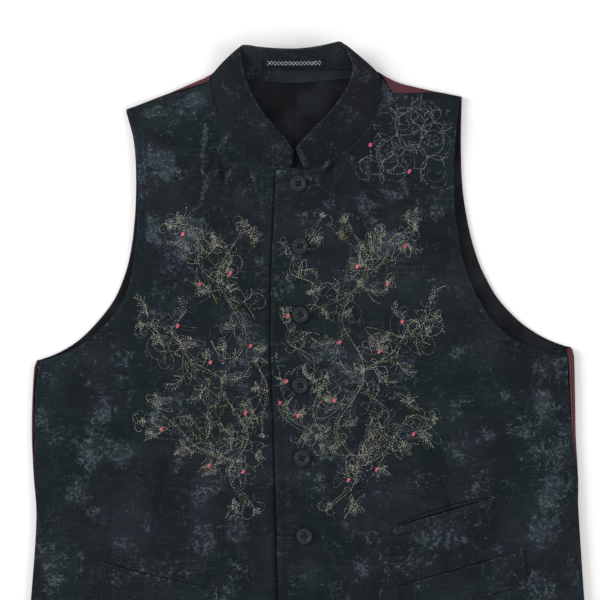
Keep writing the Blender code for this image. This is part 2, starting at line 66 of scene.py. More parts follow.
# %% Sockets and finishes
class Socket:
    """An output of a node. Arithmetic on it adds Math nodes to its finish."""

    def __init__(self, finish, socket):
        self.finish, self.socket = finish, socket

    def math(self, operation, *terms):
        return self.finish.node("ShaderNodeMath", {"operation": operation}, dict(enumerate(terms)))

    def __add__(self, other):
        return self.math("ADD", self, other)

    def __sub__(self, other):
        return self.math("SUBTRACT", self, other)

    def __rsub__(self, other):
        return self.math("SUBTRACT", other, self)

    def __mul__(self, other):
        return self.math("MULTIPLY", self, other)

    def __truediv__(self, other):
        return self.math("DIVIDE", self, other)

    def __mod__(self, other):
        return self.math("FLOORED_MODULO", self, other)

    def __abs__(self):
        return self.math("ABSOLUTE", self)

    __radd__ = __add__
    __rmul__ = __mul__


class Finish:
    """A material. Its constants go on the shader's sockets, and what varies is fed to them."""

    def __init__(self, name, **constants):
        self.material = bpy.data.materials.new(name)
        self.material.use_nodes = True
        self.tree = self.material.node_tree
        self.shader = self.tree.nodes["Principled BSDF"]
        for socket, value in constants.items():
            self.shader.inputs[socket.replace("_", " ")].default_value = value
        self.place = self.node("ShaderNodeTexCoord", {}, {}, "Object")

    def node(self, kind, settings, sockets, output=0):
        made = self.tree.nodes.new(kind)
        for name, value in settings.items():
            setattr(made, name, value)
        for name, value in sockets.items():
            self.feed(made.inputs[name], value)
        return Socket(self, made.outputs[output])

    def feed(self, target, value):
        if isinstance(value, Socket):
            self.tree.links.new(value.socket, target)
        else:
            target.default_value = value

    def scaled(self, size, stretch=(1, 1, 1), shift=0.0):
        """The place on the piece, counted in patches of a size in millimetres."""
        scale = tuple(1000 / (size * share) for share in stretch)
        sockets = {0: self.place, 1: scale, 2: (shift, shift, shift)}
        return self.node("ShaderNodeVectorMath", {"operation": "MULTIPLY_ADD"}, sockets)

    def noise(self, size, detail=2.0, rough=0.5, stretch=(1, 1, 1), shift=0.0):
        where = self.scaled(size, stretch, shift)
        sockets = {"Vector": where, "Scale": 1.0, "Detail": detail, "Roughness": rough}
        return self.node("ShaderNodeTexNoise", {}, sockets, "Fac")

    def step(self, value, low, high):
        """0 below low and 1 above high, with a soft change between."""
        sockets = {"Value": value, "From Min": low, "From Max": high}
        return self.node("ShaderNodeMapRange", {"interpolation_type": "SMOOTHSTEP"}, sockets)

    def mix(self, share, first, second):
        first = first if isinstance(first, Socket) else (*first, 1)
        second = second if isinstance(second, Socket) else (*second, 1)
        return self.node("ShaderNodeMix", {"data_type": "RGBA"}, {0: share, 6: first, 7: second}, 2)

    def painted(self, name):
        """A number that the mesh carries at each of its points."""
        return self.node("ShaderNodeAttribute", {"attribute_name": name}, {}, "Fac")

    def wear(self, socket, value):
        self.feed(self.shader.inputs[socket], value)

    def relief(self, height, depth):
        """A bump of a depth in millimetres."""
        sockets = {"Strength": 1.0, "Distance": depth * 0.001, "Height": height}
        self.wear("Normal", self.node("ShaderNodeBump", {}, sockets, "Normal"))


def grey(level):
    """A screen grey level, from 0 to 255, as linear light."""
    share = level / 255
    return share / 12.92 if share <= 0.04045 else ((share + 0.055) / 1.055) ** 2.4


def shade(red, green, blue):
    return grey(red), grey(green), grey(blue)


print("black-green in linear light:", [round(v, 4) for v in shade(30, 37, 40)])

# %% [markdown]
# ## Table, lights and camera
#
# The waistcoat was photographed from straight above on a white ground with soft light from all
# sides, so nothing casts a hard shadow. A bright even sky does most of that. Two wide lamps, one on
# each side, differ a little in strength, which gives the folds a lighter and a darker flank. The
# camera looks straight down from 2.4 m through a long lens, so that 588 mm of the table fill the
# picture, and the hem lies below its edge.

# %% The studio
scene = bpy.context.scene
scene.view_settings.view_transform = "Standard"

world = bpy.data.worlds.new("studio")
scene.world = world
world.use_nodes = True
sky = world.node_tree.nodes["Background"]
sky.inputs["Color"].default_value = (1, 1, 1, 1)
sky.inputs["Strength"].default_value = 0.60


def placed(name, data):
    """A new object in the scene."""
    made = bpy.data.objects.new(name, data)
    scene.collection.objects.link(made)
    return made


def softbox(name, place, size, power):
    """A square lamp that looks at the middle of the waistcoat."""
    lamp = bpy.data.lights.new(name, "AREA")
    lamp.shape = "SQUARE"
    lamp.size, lamp.energy = size, power
    held = placed(name, lamp)
    held.location = place
    aim = np.array(place)
    flat = math.hypot(aim[0], aim[1])
    held.rotation_euler = (math.atan2(flat, aim[2]), 0, math.atan2(aim[1], aim[0]) + math.pi / 2)


softbox("left softbox", (-2.0, 0.6, 1.15), 1.1, 46)
softbox("right softbox", (2.0, -0.3, 1.5), 1.3, 24)

FLOOR_REACH, FLOOR_DROP = 6, 0.0004
ground = Finish("pale ground", Roughness=0.9, Specular_IOR_Level=0.1)
ground.wear("Base Color", ground.mix(ground.noise(90), (0.90, 0.90, 0.90), (0.93, 0.93, 0.93)))
mesh = bpy.data.meshes.new("floor")
corners = [(x * FLOOR_REACH, y * FLOOR_REACH, -FLOOR_DROP) for x, y in ((-1, -1), (1, -1), (1, 1), (-1, 1))]
mesh.from_pydata(corners, [], [(0, 1, 2, 3)])
mesh.materials.append(ground.material)
placed("floor", mesh)

CAMERA_HEIGHT, TABLE_WIDTH = 2.401, 0.588
eye = bpy.data.cameras.new("camera")
eye.sensor_width = 36
eye.lens = eye.sensor_width * CAMERA_HEIGHT / TABLE_WIDTH
camera = placed("camera", eye)
camera.location = (-0.00686, 0.07056, CAMERA_HEIGHT)
scene.camera = camera
print("lens in millimetres:", round(eye.lens, 1))

# %% [markdown]
# ## The cutting table
#
# A tailor works from measured points, and so does this model. These rows repeat the solids' own
# outlines in millimetres. Each front is a stack of sections that run across it, from its inner edge
# (centre front, then neckline) to its outer edge (side seam, then armhole).

# %% Sizes and the fronts' outlines
MM = 0.001
HEM_Y = -321.6
GAP = 0.3
BACK_WALL = 1.2
LINING_WALL = 1.0
FRONT_WALL = 1.6
COLLAR_WALL = 2.0
WELT_WALL = 1.2
WELT_GAP = 0.45
LABEL_WALL = 0.6
FRONT_TOP = 7.0
EDGE_DROP = 1.4
LAP_DROP = 2.1
ROLL_RADIUS = 2.8
FULL_LIP = 4.0
FLAT_LIP = 0.5
FLAT_EDGE = 0.2
HOLE_RADIUS = 0.9
HOLE_OFFSET = 1.9
LINING_SIDE_INSET = 4.5
LINING_EDGE_INSET = 0.5
LINING_TOP_INSET = 1.4
CENTRE_BACK_X = -11.8
FACING_WIDTH = 12.5
FACING_INSET = 1.9
FRONT_SPACING = 2.5
WIDEST_ROW = 302.0

Section = namedtuple("Section", "inner_x inner_y outer_x outer_y corner", defaults=("",))
LEFT_SECTIONS = [
    Section(-25.4, HEM_Y, 277.2, HEM_Y),
    Section(-26.4, -270, 275, -278),
    Section(-28.3, -208, 270.6, -215),
    Section(-29.6, -146, 265.8, -142),
    Section(-30.6, -112, 263.4, -98),
    Section(-31.2, -90, 260, -64),
    Section(-31.9, -70, 256.4, -28),
    Section(-32.4, -50, 254.2, 21.5, "outer"),
    Section(-33.3, -30, 228.4, 22.8),
    Section(-34.2, -6, 204.4, 31.4),
    Section(-35, 16, 188.7, 43.2),
    Section(-35.5, 38, 175, 58.8),
    Section(-35.4, 70, 161.4, 84.3),
    Section(-34.6, 108, 152.6, 109),
    Section(-32.4, 150, 147.9, 133),
    Section(-30.3, 197.6, 145, 155, "inner"),
    Section(-2.5, 197.8, 143.9, 170),
    Section(10.9, 201.4, 143.5, 182),
    Section(24, 208.2, 143.4, 192),
    Section(36.8, 216.7, 143.5, 201),
    Section(48.5, 226, 144, 211),
    Section(59.4, 237.8, 145, 224),
    Section(67.7, 251.7, 146.3, 240),
    Section(72.6, 266, 148, 256),
    Section(73.6, 288.8, 150.4, 268.3),
]
RIGHT_SECTIONS = [
    Section(20.5, HEM_Y, -277.2, HEM_Y),
    Section(19.4, -270, -275.1, -278),
    Section(18, -208, -269.2, -213),
    Section(16.6, -146, -264.6, -142),
    Section(16, -110, -266.7, -103),
    Section(15.4, -84, -266.6, -62),
    Section(15, -62, -265.8, -25),
    Section(14.7, -42, -263.6, 9.6, "outer"),
    Section(14.5, -26, -235.7, 18.7),
    Section(14.3, -6, -216.2, 29.5),
    Section(14.2, 14, -202.5, 41.2),
    Section(14, 38, -186.8, 58.8),
    Section(13.8, 64, -177, 75.5),
    Section(13.5, 98, -170.2, 103.8),
    Section(13.1, 142, -166.9, 129.2),
    Section(12.7, 195.5, -165.6, 158, "inner"),
    Section(-14.9, 199.9, -165.3, 174),
    Section(-29.6, 201.3, -165.4, 186),
    Section(-44.4, 206.3, -166, 197),
    Section(-59.3, 215.8, -166.7, 207.5),
    Section(-71, 227.1, -167.5, 218),
    Section(-80.9, 240.9, -169, 230),
    Section(-88.5, 256.2, -171.8, 243),
    Section(-93.7, 271.8, -175, 252),
    Section(-95, 286, -176.8, 256.6),
]

# How far each shoulder seam dips below a straight line, by the share of the way to the armhole
LEFT_DIPS = [
    (0, 0), (0.054, 5.6), (0.088, 10.2), (0.12, 13.7), (0.217, 12),
    (0.42, 7.3), (0.6, 2.6), (0.72, 0.3), (0.81, -0.3), (1, -0.3),
]
RIGHT_DIPS = [(0, 0), (0.04, 2.2), (0.2, 2.1), (0.36, 1.5), (0.5, 0.1), (1, -0.3)]

# A point of each straight shoulder line of the solids, and the line's slope
RIGHT_SHOULDER = (-177.0, 257.4, 0.4015)
LEFT_SHOULDER = (151.6, 270.1, -0.259)

Button = namedtuple("Button", "x y turn")
BUTTONS = [
    Button(-8.6, 184.3, 8),
    Button(-6.9, 123.4, -14),
    Button(-6.5, 56.1, 36),
    Button(-6.5, -12.8, 3),
    Button(-4.9, -84, -22),
    Button(-2.6, -160.2, 45),
    Button(-0.5, -239.5, 15),
]
print("a front has", len(LEFT_SECTIONS), "sections, and the lap has", len(BUTTONS), "buttons")

# %% [markdown]
# ## Curves through the points
#
# A cut edge is a smooth curve with a few sharp corners. A Hermite curve goes through every point of
# the table and takes its direction from the neighbours, so it needs no handles, and a point named
# as a corner simply ignores the neighbour on its other side.


# %% Curves
def smoothstep(low, high, value):
    """0 below low, 1 above high, and an even change between."""
    share = np.clip((np.asarray(value, float) - low) / (high - low), 0, 1)
    return share * share * (3 - 2 * share)


def unit(vector):
    return vector / max(np.linalg.norm(vector), 1e-9)


def towards(angle):
    """The direction at an angle, or one direction for each of many angles."""
    return np.stack([np.cos(angle), np.sin(angle)], axis=-1)


def left_of(direction):
    return np.array([-direction[1], direction[0]])


def curve_point(points, station, corners=()):
    """A smooth curve through the points, read at a station counted in points."""
    last = len(points) - 1
    index = min(int(station), last - 1)
    share = station - index
    start, end = points[index], points[index + 1]
    chord = np.linalg.norm(end - start)
    before = points[index - 1] if index > 0 and index not in corners else start
    after = points[index + 2] if index + 2 <= last and index + 1 not in corners else end
    leave = unit(end - before) * chord
    arrive = unit(after - start) * chord
    square, cube = share * share, share**3
    return (
        (2 * cube - 3 * square + 1) * start
        + (cube - 2 * square + share) * leave
        + (3 * square - 2 * cube) * end
        + (cube - square) * arrive
    )


EDGE_STEPS = [0.0, 0.2, 0.55, 1.1, 1.9]


def stations(edges, spacing, fine_ends=False):
    """Stations along some edges about a spacing apart, and much closer at both ends for a turned edge."""
    found = [0.0]
    for index in range(len(edges[0]) - 1):
        longest = max(np.linalg.norm(edge[index + 1] - edge[index]) for edge in edges)
        steps = max(1, round(longest / spacing))
        found += [index + (step + 1) / steps for step in range(steps)]
    if fine_ends:
        last = len(edges[0]) - 1
        first_chord = np.linalg.norm(edges[0][1] - edges[0][0])
        last_chord = np.linalg.norm(edges[0][-1] - edges[0][-2])
        found += [step / first_chord for step in EDGE_STEPS[1:]]
        found += [last - step / last_chord for step in EDGE_STEPS[1:]]
    return sorted(found)


def with_ends(inside, length):
    """Places along a length, with a few more close to both of its ends."""
    return np.concatenate([EDGE_STEPS[:-1], inside, length - np.array(EDGE_STEPS[-2::-1])])


def spread(length, spacing):
    """Even places along a length, and closer ones at both ends."""
    inside = np.linspace(EDGE_STEPS[-1], length - EDGE_STEPS[-1], max(3, round(length / spacing)))
    return with_ends(inside, length)


def edge_distance(x, y, line):
    """How far each point is from a line of points, and how far along the line that is."""
    x, y = np.asarray(x, float), np.asarray(y, float)
    nearest, along, walked = np.full(x.shape, 1e9), np.zeros(x.shape), 0.0
    for (ax, ay), (bx, by) in zip(line[:-1], line[1:]):
        length = max(math.hypot(bx - ax, by - ay), 1e-9)
        dx, dy = (bx - ax) / length, (by - ay) / length
        travel = np.clip((x - ax) * dx + (y - ay) * dy, 0, length)
        distance = np.hypot(x - ax - travel * dx, y - ay - travel * dy)
        closer = distance < nearest
        nearest = np.where(closer, distance, nearest)
        along = np.where(closer, walked + travel, along)
        walked += length
    return nearest, along


print("a 300 mm row has", len(spread(300, 2.4)), "points")

# %% [markdown]
# ## Folds, creases and puckers
#
# Cloth that was worn and laid down keeps soft folds: long ones that drag from the collar seam, dents
# by the armholes, and a row of small puckers along each seam, where the thread is a little shorter
# than the cloth. A cloth simulation would give folds, but not these ones, so each is placed as a
# ridge or trough that fades out at both ends. A little seeded unevenness fills the rest.

# %% Named folds
Fold = namedtuple("Fold", "from_x from_y to_x to_y width height")
FOLDS = [
    Fold(44, 206, 8, 168, 7, 2.2), Fold(66, 190, 26, 120, 12, 1.4), Fold(-70, 214, -92, 150, 7, 1.7),
    Fold(-90, 226, -122, 160, 8, 1.4), Fold(-54, 192, -64, 120, 8, 1.2), Fold(96, 224, 122, 160, 10, 1.3),
    Fold(-176, 40, -120, -10, 12, 1.4), Fold(170, 40, 112, -16, 12, 1.4),
    Fold(-250, -132, -196, -118, 11, 1.3), Fold(246, -134, 190, -112, 11, 1.3),
    Fold(-140, -60, -154, -172, 14, 0.9), Fold(124, -60, 152, -172, 14, 0.9),
]
CREASES = [
    Fold(-128.1, -51.7, -156.5, -172, 3.4, -1), Fold(114.4, -51.7, 154.5, -179.8, 3.4, -1),
    Fold(33, 208, 4, 158, 3.6, -1.5), Fold(46, 218, 22, 166, 4.5, 1.3), Fold(-74, 218, -86, 158, 3.2, -1.4),
    Fold(-86, 230, -100, 170, 3.4, -1.3), Fold(80, 236, 96, 190, 6, -0.6),
    Fold(-112, 236, -126, 196, 6, 0.6), Fold(-20, 152, 46, 158, 5, 0.5), Fold(-24, 92, 52, 84, 5.5, 0.5),
    Fold(-26, 22, 44, 14, 5, 0.5), Fold(-26, -48, 60, -42, 6, 0.5), Fold(-26, -122, 40, -134, 6, 0.5),
    Fold(-150, 120, -96, 96, 6, 0.6), Fold(-146, 86, -100, 56, 5, -0.5), Fold(134, 112, 88, 84, 6, 0.6),
    Fold(140, 74, 96, 52, 5, -0.5), Fold(-206, 20, -150, -40, 7, 0.8), Fold(-226, 4, -190, -60, 6, -0.7),
    Fold(202, 24, 150, -44, 7, 0.8), Fold(222, 8, 188, -64, 6, -0.7), Fold(-252, -60, -180, -74, 7, 0.7),
    Fold(-256, -92, -206, -98, 6, -0.5), Fold(248, -48, 186, -70, 7, 0.7),
    Fold(-110, -96, -62, -120, 7, 0.5), Fold(60, -100, 104, -118, 7, 0.5),
    Fold(-240, -226, -170, -244, 8, 0.9), Fold(-120, -262, -60, -250, 7, 0.7),
    Fold(236, -226, 176, -250, 8, 0.9), Fold(60, -262, 120, -282, 7, 0.7),
]

Wave = namedtuple("Wave", "length turn phase height")
wave_dice = np.random.default_rng(11)
WAVES = [Wave(*row) for row in zip(
    np.geomspace(118, 19, 16),
    wave_dice.uniform(0, math.pi, 16),
    wave_dice.uniform(0, 2 * math.pi, 16),
    np.geomspace(0.34, 0.05, 16),
)]
print("placed by hand:", len(FOLDS), "folds and", len(CREASES), "creases")


# %% The height of a front
def ridges(x, y, folds):
    """The height that soft folds add, each of them fading at both ends."""
    total = np.zeros(np.shape(x))
    for fold in folds:
        along = np.array([fold.to_x - fold.from_x, fold.to_y - fold.from_y])
        length = np.linalg.norm(along)
        along = along / length
        travel = (x - fold.from_x) * along[0] + (y - fold.from_y) * along[1]
        aside = (x - fold.from_x) * along[1] - (y - fold.from_y) * along[0]
        fade = smoothstep(0, 0.4 * length, travel) * smoothstep(0, 0.5 * length, length - travel)
        total = total + fold.height * fade * np.exp(-((aside / fold.width) ** 2))
    return total


def unevenness(x, y):
    """Slow seeded waves, from a hand's breadth down to a finger's."""
    total = np.zeros(np.shape(x))
    for wave in WAVES:
        across = x * math.cos(wave.turn) + y * math.sin(wave.turn)
        total = total + wave.height * np.sin(2 * math.pi * across / wave.length + wave.phase)
    return total


def button_clear(x, y):
    """0 under each button and its buttonhole, 1 well away from them."""
    clear = np.ones(np.shape(x))
    for button in BUTTONS:
        away = np.hypot(np.maximum(np.abs(x - button.x - 4) - 6, 0), y - button.y)
        clear = clear * smoothstep(8, 17, away)
    return clear


def plain_top(x, y, lapped):
    """The height of the solid's outer side, as in the part's own source."""
    right, left = (at_y + slope * (x - at_x) for at_x, at_y, slope in (RIGHT_SHOULDER, LEFT_SHOULDER))
    shoulder = np.where(x < 0, right, left)
    height = FRONT_TOP - EDGE_DROP * smoothstep(236, 263, np.abs(x))
    height = height - EDGE_DROP * smoothstep(-32, -4, y - shoulder)
    height = height - 0.6 * EDGE_DROP * smoothstep(-HEM_Y - 22, -HEM_Y, -y)
    if not lapped:
        return height + ridges(x, y, FOLDS)
    height = height - LAP_DROP * smoothstep(-74, -36, x)
    return height + ridges(x, y, FOLDS) * (1 - smoothstep(-62, -38, x))


def front_edges(sections):
    """A front's inner and outer edge points, and which of them are corners."""
    inner = [np.array([s.inner_x, s.inner_y]) for s in sections]
    outer = [np.array([s.outer_x, s.outer_y]) for s in sections]
    corners = [[i for i, s in enumerate(sections) if s.corner == side] for side in ("inner", "outer")]
    return inner, outer, *corners


def front_outline(sections, dips):
    """The cut edge of a front as a closed line of points from the hem round to the hem, and its
    free parts: the front edge, the armhole and the hem."""
    inner, outer, inner_corners, outer_corners = front_edges(sections)
    read = stations([inner, outer], 5.0)
    up = [curve_point(inner, station, inner_corners) for station in read]
    down = [curve_point(outer, station, outer_corners) for station in read][::-1]
    shares = np.linspace(0, 1, 25)[1:-1]
    dip = np.interp(shares, [d[0] for d in dips], [d[1] for d in dips])
    over = up[-1] + (down[0] - up[-1]) * shares[:, None] - np.column_stack([0 * dip, dip])
    lap = [p for p, station in zip(up, read) if station <= inner_corners[0]]
    armhole = [p for p, station in zip(down, read[::-1]) if station >= outer_corners[0]]
    free = [np.array(line) for line in (lap, armhole, [down[-1], up[0]])]
    return np.array(up + list(over) + down + [up[0]]), free


LEFT_OUTLINE, LEFT_FREE = front_outline(LEFT_SECTIONS, LEFT_DIPS)
RIGHT_OUTLINE, RIGHT_FREE = front_outline(RIGHT_SECTIONS, RIGHT_DIPS)


def front_top(x, y, lapped):
    """The height of a front's outer side with all its folds, and its distance from the cut edge."""
    x, y = np.asarray(x, float), np.asarray(y, float)
    distance, along = edge_distance(x, y, RIGHT_OUTLINE if lapped else LEFT_OUTLINE)
    small = ridges(x, y, CREASES) + unevenness(x, y)
    small = small * smoothstep(0, 14, distance)
    pucker = np.sin(along * 0.74 + 1.3 * np.sin(along * 0.061)) * (0.6 + 0.4 * np.sin(along * 0.043))
    small = small + 0.2 * pucker * np.exp(-(((distance - 6) / 4.5) ** 2))
    small = small + 0.3 * np.exp(-(((distance - 3.2) / 2.2) ** 2))
    clear = button_clear(x, y)
    if lapped:
        clear = clear * (1 - smoothstep(-58, -36, x))
    else:
        small = np.where(x < 24, np.maximum(small, -0.3), small)
    return plain_top(x, y, lapped) + small * clear, distance


print("cut edges in metres:", round(edge_distance(0.0, 0.0, LEFT_OUTLINE)[1] / 1000, 2))

# %% [markdown]
# ## A closed shell of cloth
#
# Cloth has two sides and a thickness, so every piece here is a closed shell between two grids of
# points, joined round the rim. Solidify could add the thickness, but then the turned edge could not
# be shaped: real edges are folded in and pressed, and so both sides curve together over the last
# millimetre.


# %% Shells
def shell(name, upper, lower, finish):
    """A closed piece between two grids of points in millimetres."""
    rows, columns = upper.shape[:2]
    count = rows * columns
    index = np.arange(count).reshape(rows, columns)
    a, b, c, d = index[:-1, :-1], index[:-1, 1:], index[1:, 1:], index[1:, :-1]
    top = np.stack([a, b, c, d], axis=-1).reshape(-1, 4)
    rim = np.concatenate([index[0, :], index[1:, -1], index[-1, -2::-1], index[-2:0:-1, 0]])
    ahead = np.roll(rim, -1)
    side = np.stack([ahead, rim, rim + count, ahead + count], axis=-1)
    faces = np.concatenate([top, top[:, ::-1] + count, side])
    points = np.concatenate([upper.reshape(-1, 3), lower.reshape(-1, 3)])
    return closed_mesh(name, points, faces, finish)


def layer(name, x, y, top, bottom, finish):
    """A shell between two heights over one grid."""
    return shell(name, np.dstack([x, y, top]), np.dstack([x, y, bottom]), finish)


def closed_mesh(name, points, faces, finish):
    """An object from points in millimetres and faces with as many corners each, turned outwards."""
    first = points[faces[:, 0]]
    volume = 0.0
    for corner in range(1, faces.shape[1] - 1):
        turned = np.cross(points[faces[:, corner]], points[faces[:, corner + 1]])
        volume += (first * turned).sum()
    if volume < 0:
        faces = faces[:, ::-1]
    made = placed(name, smooth_mesh(name, points, faces.tolist(), finish))
    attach(made, "root")
    return made


def smooth_mesh(name, points, faces, finish):
    """A mesh in one finish from points in millimetres."""
    mesh = bpy.data.meshes.new(name)
    mesh.from_pydata((points * MM).tolist(), [], faces)
    mesh.shade_smooth()
    mesh.materials.append(finish.material)
    return mesh


def paint(made, name, values):
    """Give the mesh a number at each of its points, for its finish to read."""
    layer = made.data.attributes.new(name, "FLOAT", "POINT")
    layer.data.foreach_set("value", np.asarray(values, np.float32).ravel())


def paint_both(made, name, values):
    """Give both sides of a shell the same number at each point of its grid."""
    paint(made, name, np.tile(values.ravel(), 2))


def stand_for(made, node):
    """The piece takes the place of one of the solids."""
    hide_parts(node)
    return made


def turned_edge(distance, wall):
    """How far both sides of the cloth curve towards each other at a distance from its edge."""
    short = 1 - np.clip(distance / 1.1, 0, 1)
    return 0.36 * wall * (1 - np.sqrt(np.clip(1 - short * short, 0, 1)))


print("a front's edge is", round(FRONT_WALL - 2 * float(turned_edge(0, FRONT_WALL)), 2), "mm thick")

# %% [markdown]
# ## Worn twill
#
# The fronts' cloth was coated and dyed nearly black, then scraped. Where it is rubbed the slate grey
# of the twill shows: in scraps a few millimetres long that crowd into patches, in long level streaks,
# and as fine diagonal speckle. Here and there sits a fleck of lint. One fractal noise says where the
# patches are. A second is thresholded into torn scraps, and the thin band where a third passes its own
# middle value draws twigs, which are what a scrape along a crumple leaves. Stretched noise draws the
# streaks and bands, faint paler fields lie under them all, and a wave set at 45 degrees is the twill
# line. The mesh carries where the cloth was rubbed most, so that the wear follows the garment and not
# only chance. It also carries painted shade for the deep creases and beside the lap's edge, and
# painted light for the inner sides, which the lamps hardly reach.


# %% The fronts' finish
def streaked(cloth):
    """Thin scratches along both threads of the weave, each kind only in some places."""
    long = cloth.step(cloth.noise(1.1, 2, 0.6, (55, 1, 1)), 0.58, 0.68)
    long_place = cloth.step(cloth.noise(40, 2, 0.5, shift=9.0), 0.50, 0.62)
    short = cloth.step(cloth.noise(1.2, 2, 0.6, (9, 1, 1), 5.0), 0.48, 0.66)
    short_place = cloth.step(cloth.noise(48, 2, 0.5, shift=29.0), 0.42, 0.60)
    upright = cloth.step(cloth.noise(1.2, 2, 0.6, (1, 40, 1), 5.0), 0.60, 0.70)
    upright_place = cloth.step(cloth.noise(44, 2, 0.5, shift=21.0), 0.50, 0.62)
    return long * long_place * 0.14 + short * (short_place * 0.055 + 0.01) + upright * upright_place * 0.10


def toned(cloth, rubbed):
    """Faint paler fields: upright bands, level bands, loose shapes and an even haze."""
    upright = cloth.step(cloth.noise(26, 3, 0.5, (1, 3.2, 1), 41.0), 0.50, 0.55)
    level = cloth.step(cloth.noise(22, 3, 0.5, (3.4, 1, 1), 47.0), 0.52, 0.56)
    loose = cloth.step(cloth.noise(58, 3, 0.45, shift=17.0) + rubbed * 0.10, 0.50, 0.52)
    haze = cloth.step(cloth.noise(30, 3, 0.55, shift=53.0), 0.40, 0.66)
    return upright * 0.45 + level * 0.45 + loose * 0.75 + haze * 0.35


def worn_twill(name, base, rubbed_shade, amount, streaking):
    """Dark twill in two base shades with wear in two others, more of it or less, and its streaks."""
    cloth = Finish(name, Roughness=0.95, Specular_IOR_Level=0.07)
    # The mesh's numbers: where it was rubbed, how far from the edge, and how much painted shade it gets
    rubbed, edge, painted_shade = cloth.painted("rubbed"), cloth.painted("edge"), cloth.painted("painted_shade")
    # The noises that the marks are cut from, and the weave
    cloud = cloth.noise(30, 4, 0.55)
    torn = cloth.noise(8, 6, 0.66, shift=3.0)
    chips = cloth.noise(2.8, 3, 0.72, shift=19.0)
    speckle = cloth.noise(1.15, 2, 0.8, shift=1.0)
    twill = {"Vector": cloth.place, "Scale": 300.0, "Distortion": 3.0, "Detail": 2.0, "Detail Scale": 2.0}
    line = cloth.node("ShaderNodeTexWave", {"bands_direction": "DIAGONAL"}, twill, "Fac")
    weave = cloth.step(speckle * 0.5 + line * 0.5, 0.44, 0.66)
    # Twigs and scraps inside the patches, a few stray ones outside, and soft fields
    level = cloud * 0.46 + torn * 0.46 + rubbed * 0.11 + amount + 0.003
    twig = cloth.step(abs(cloth.noise(6.5, 4, 0.62, shift=7.0) - 0.5), 0.036, 0.014)
    twig = twig * cloth.step(chips, 0.47, 0.53)
    scrap = cloth.step(torn * 0.5 + chips * 0.5, 0.515, 0.545)
    patch = cloth.step(level, 0.496, 0.514) * (twig * 0.17 + scrap * 0.19 + weave * 0.10)
    stray = cloth.step(level, 0.41, 0.47) * twig * 0.28
    field = cloth.noise(15, 4, 0.6, shift=61.0) * 0.35 + rubbed * 0.16
    field = cloth.step(field, 0.30, 0.35) * (weave * 0.15 + 0.02)
    tone = toned(cloth, rubbed) * (weave * 0.055 + 0.012)
    streak = streaked(cloth) * (speckle * 0.8 + 0.4) * streaking
    worn_edge = cloth.step(edge, 2.2, 0.4) * scrap * 0.12
    # All the wear in one number, held back where shade is painted, and the shades that it mixes
    wear = ((patch + stray + field) * (speckle * 0.8 + 0.6) + tone + streak + worn_edge) * (1 - painted_shade * 0.9)
    wear = cloth.node("ShaderNodeClamp", {}, {0: wear})
    drift = cloth.step(cloth.noise(95, 1, 0.5, shift=13.0), 0.38, 0.62)
    ground_shade = cloth.mix(drift, base[0], base[1])
    # Painted light lifts the inner sides of the collar and facing, which the lamps hardly reach
    ground_shade = cloth.mix(cloth.painted("inside"), ground_shade, shade(36, 42, 46))
    # Painted shade darkens the deep creases and the strip beside the lap's edge
    ground_shade = cloth.mix(painted_shade * 0.8, ground_shade, shade(9, 11, 13))
    top_shade = cloth.mix(cloth.step(cloth.noise(24, 2, 0.5, shift=2.0), 0.35, 0.65), *rubbed_shade)
    colour = cloth.mix(wear, ground_shade, top_shade)
    # A fleck of lint in one cell out of eight
    fleck = {"Vector": cloth.scaled(9), "Scale": 1.0}
    near = cloth.node("ShaderNodeTexVoronoi", {}, fleck, "Distance")
    which = cloth.node("ShaderNodeTexVoronoi", {}, fleck, "Color")
    which = cloth.node("ShaderNodeSeparateColor", {}, {0: which}, 1)
    lint = cloth.step(near, 0.07, 0.035) * cloth.step(which, 0.86, 0.90) * 0.6
    cloth.wear("Base Color", cloth.mix(lint, colour, shade(140, 143, 142)))
    cloth.wear("Roughness", 0.97 - wear * 0.12)
    cloth.relief(line * 0.2 + chips * 0.5 + wear * 0.5 + speckle * 0.5, 0.22)
    return cloth


FRONT_CLOTH = worn_twill(
    "worn twill",
    (shade(20, 28, 30), shade(22, 27, 32)),
    (shade(90, 102, 108), shade(84, 92, 104)),
    0.0,
    1.0,
)
print("worn twill has", len(FRONT_CLOTH.tree.nodes), "nodes")
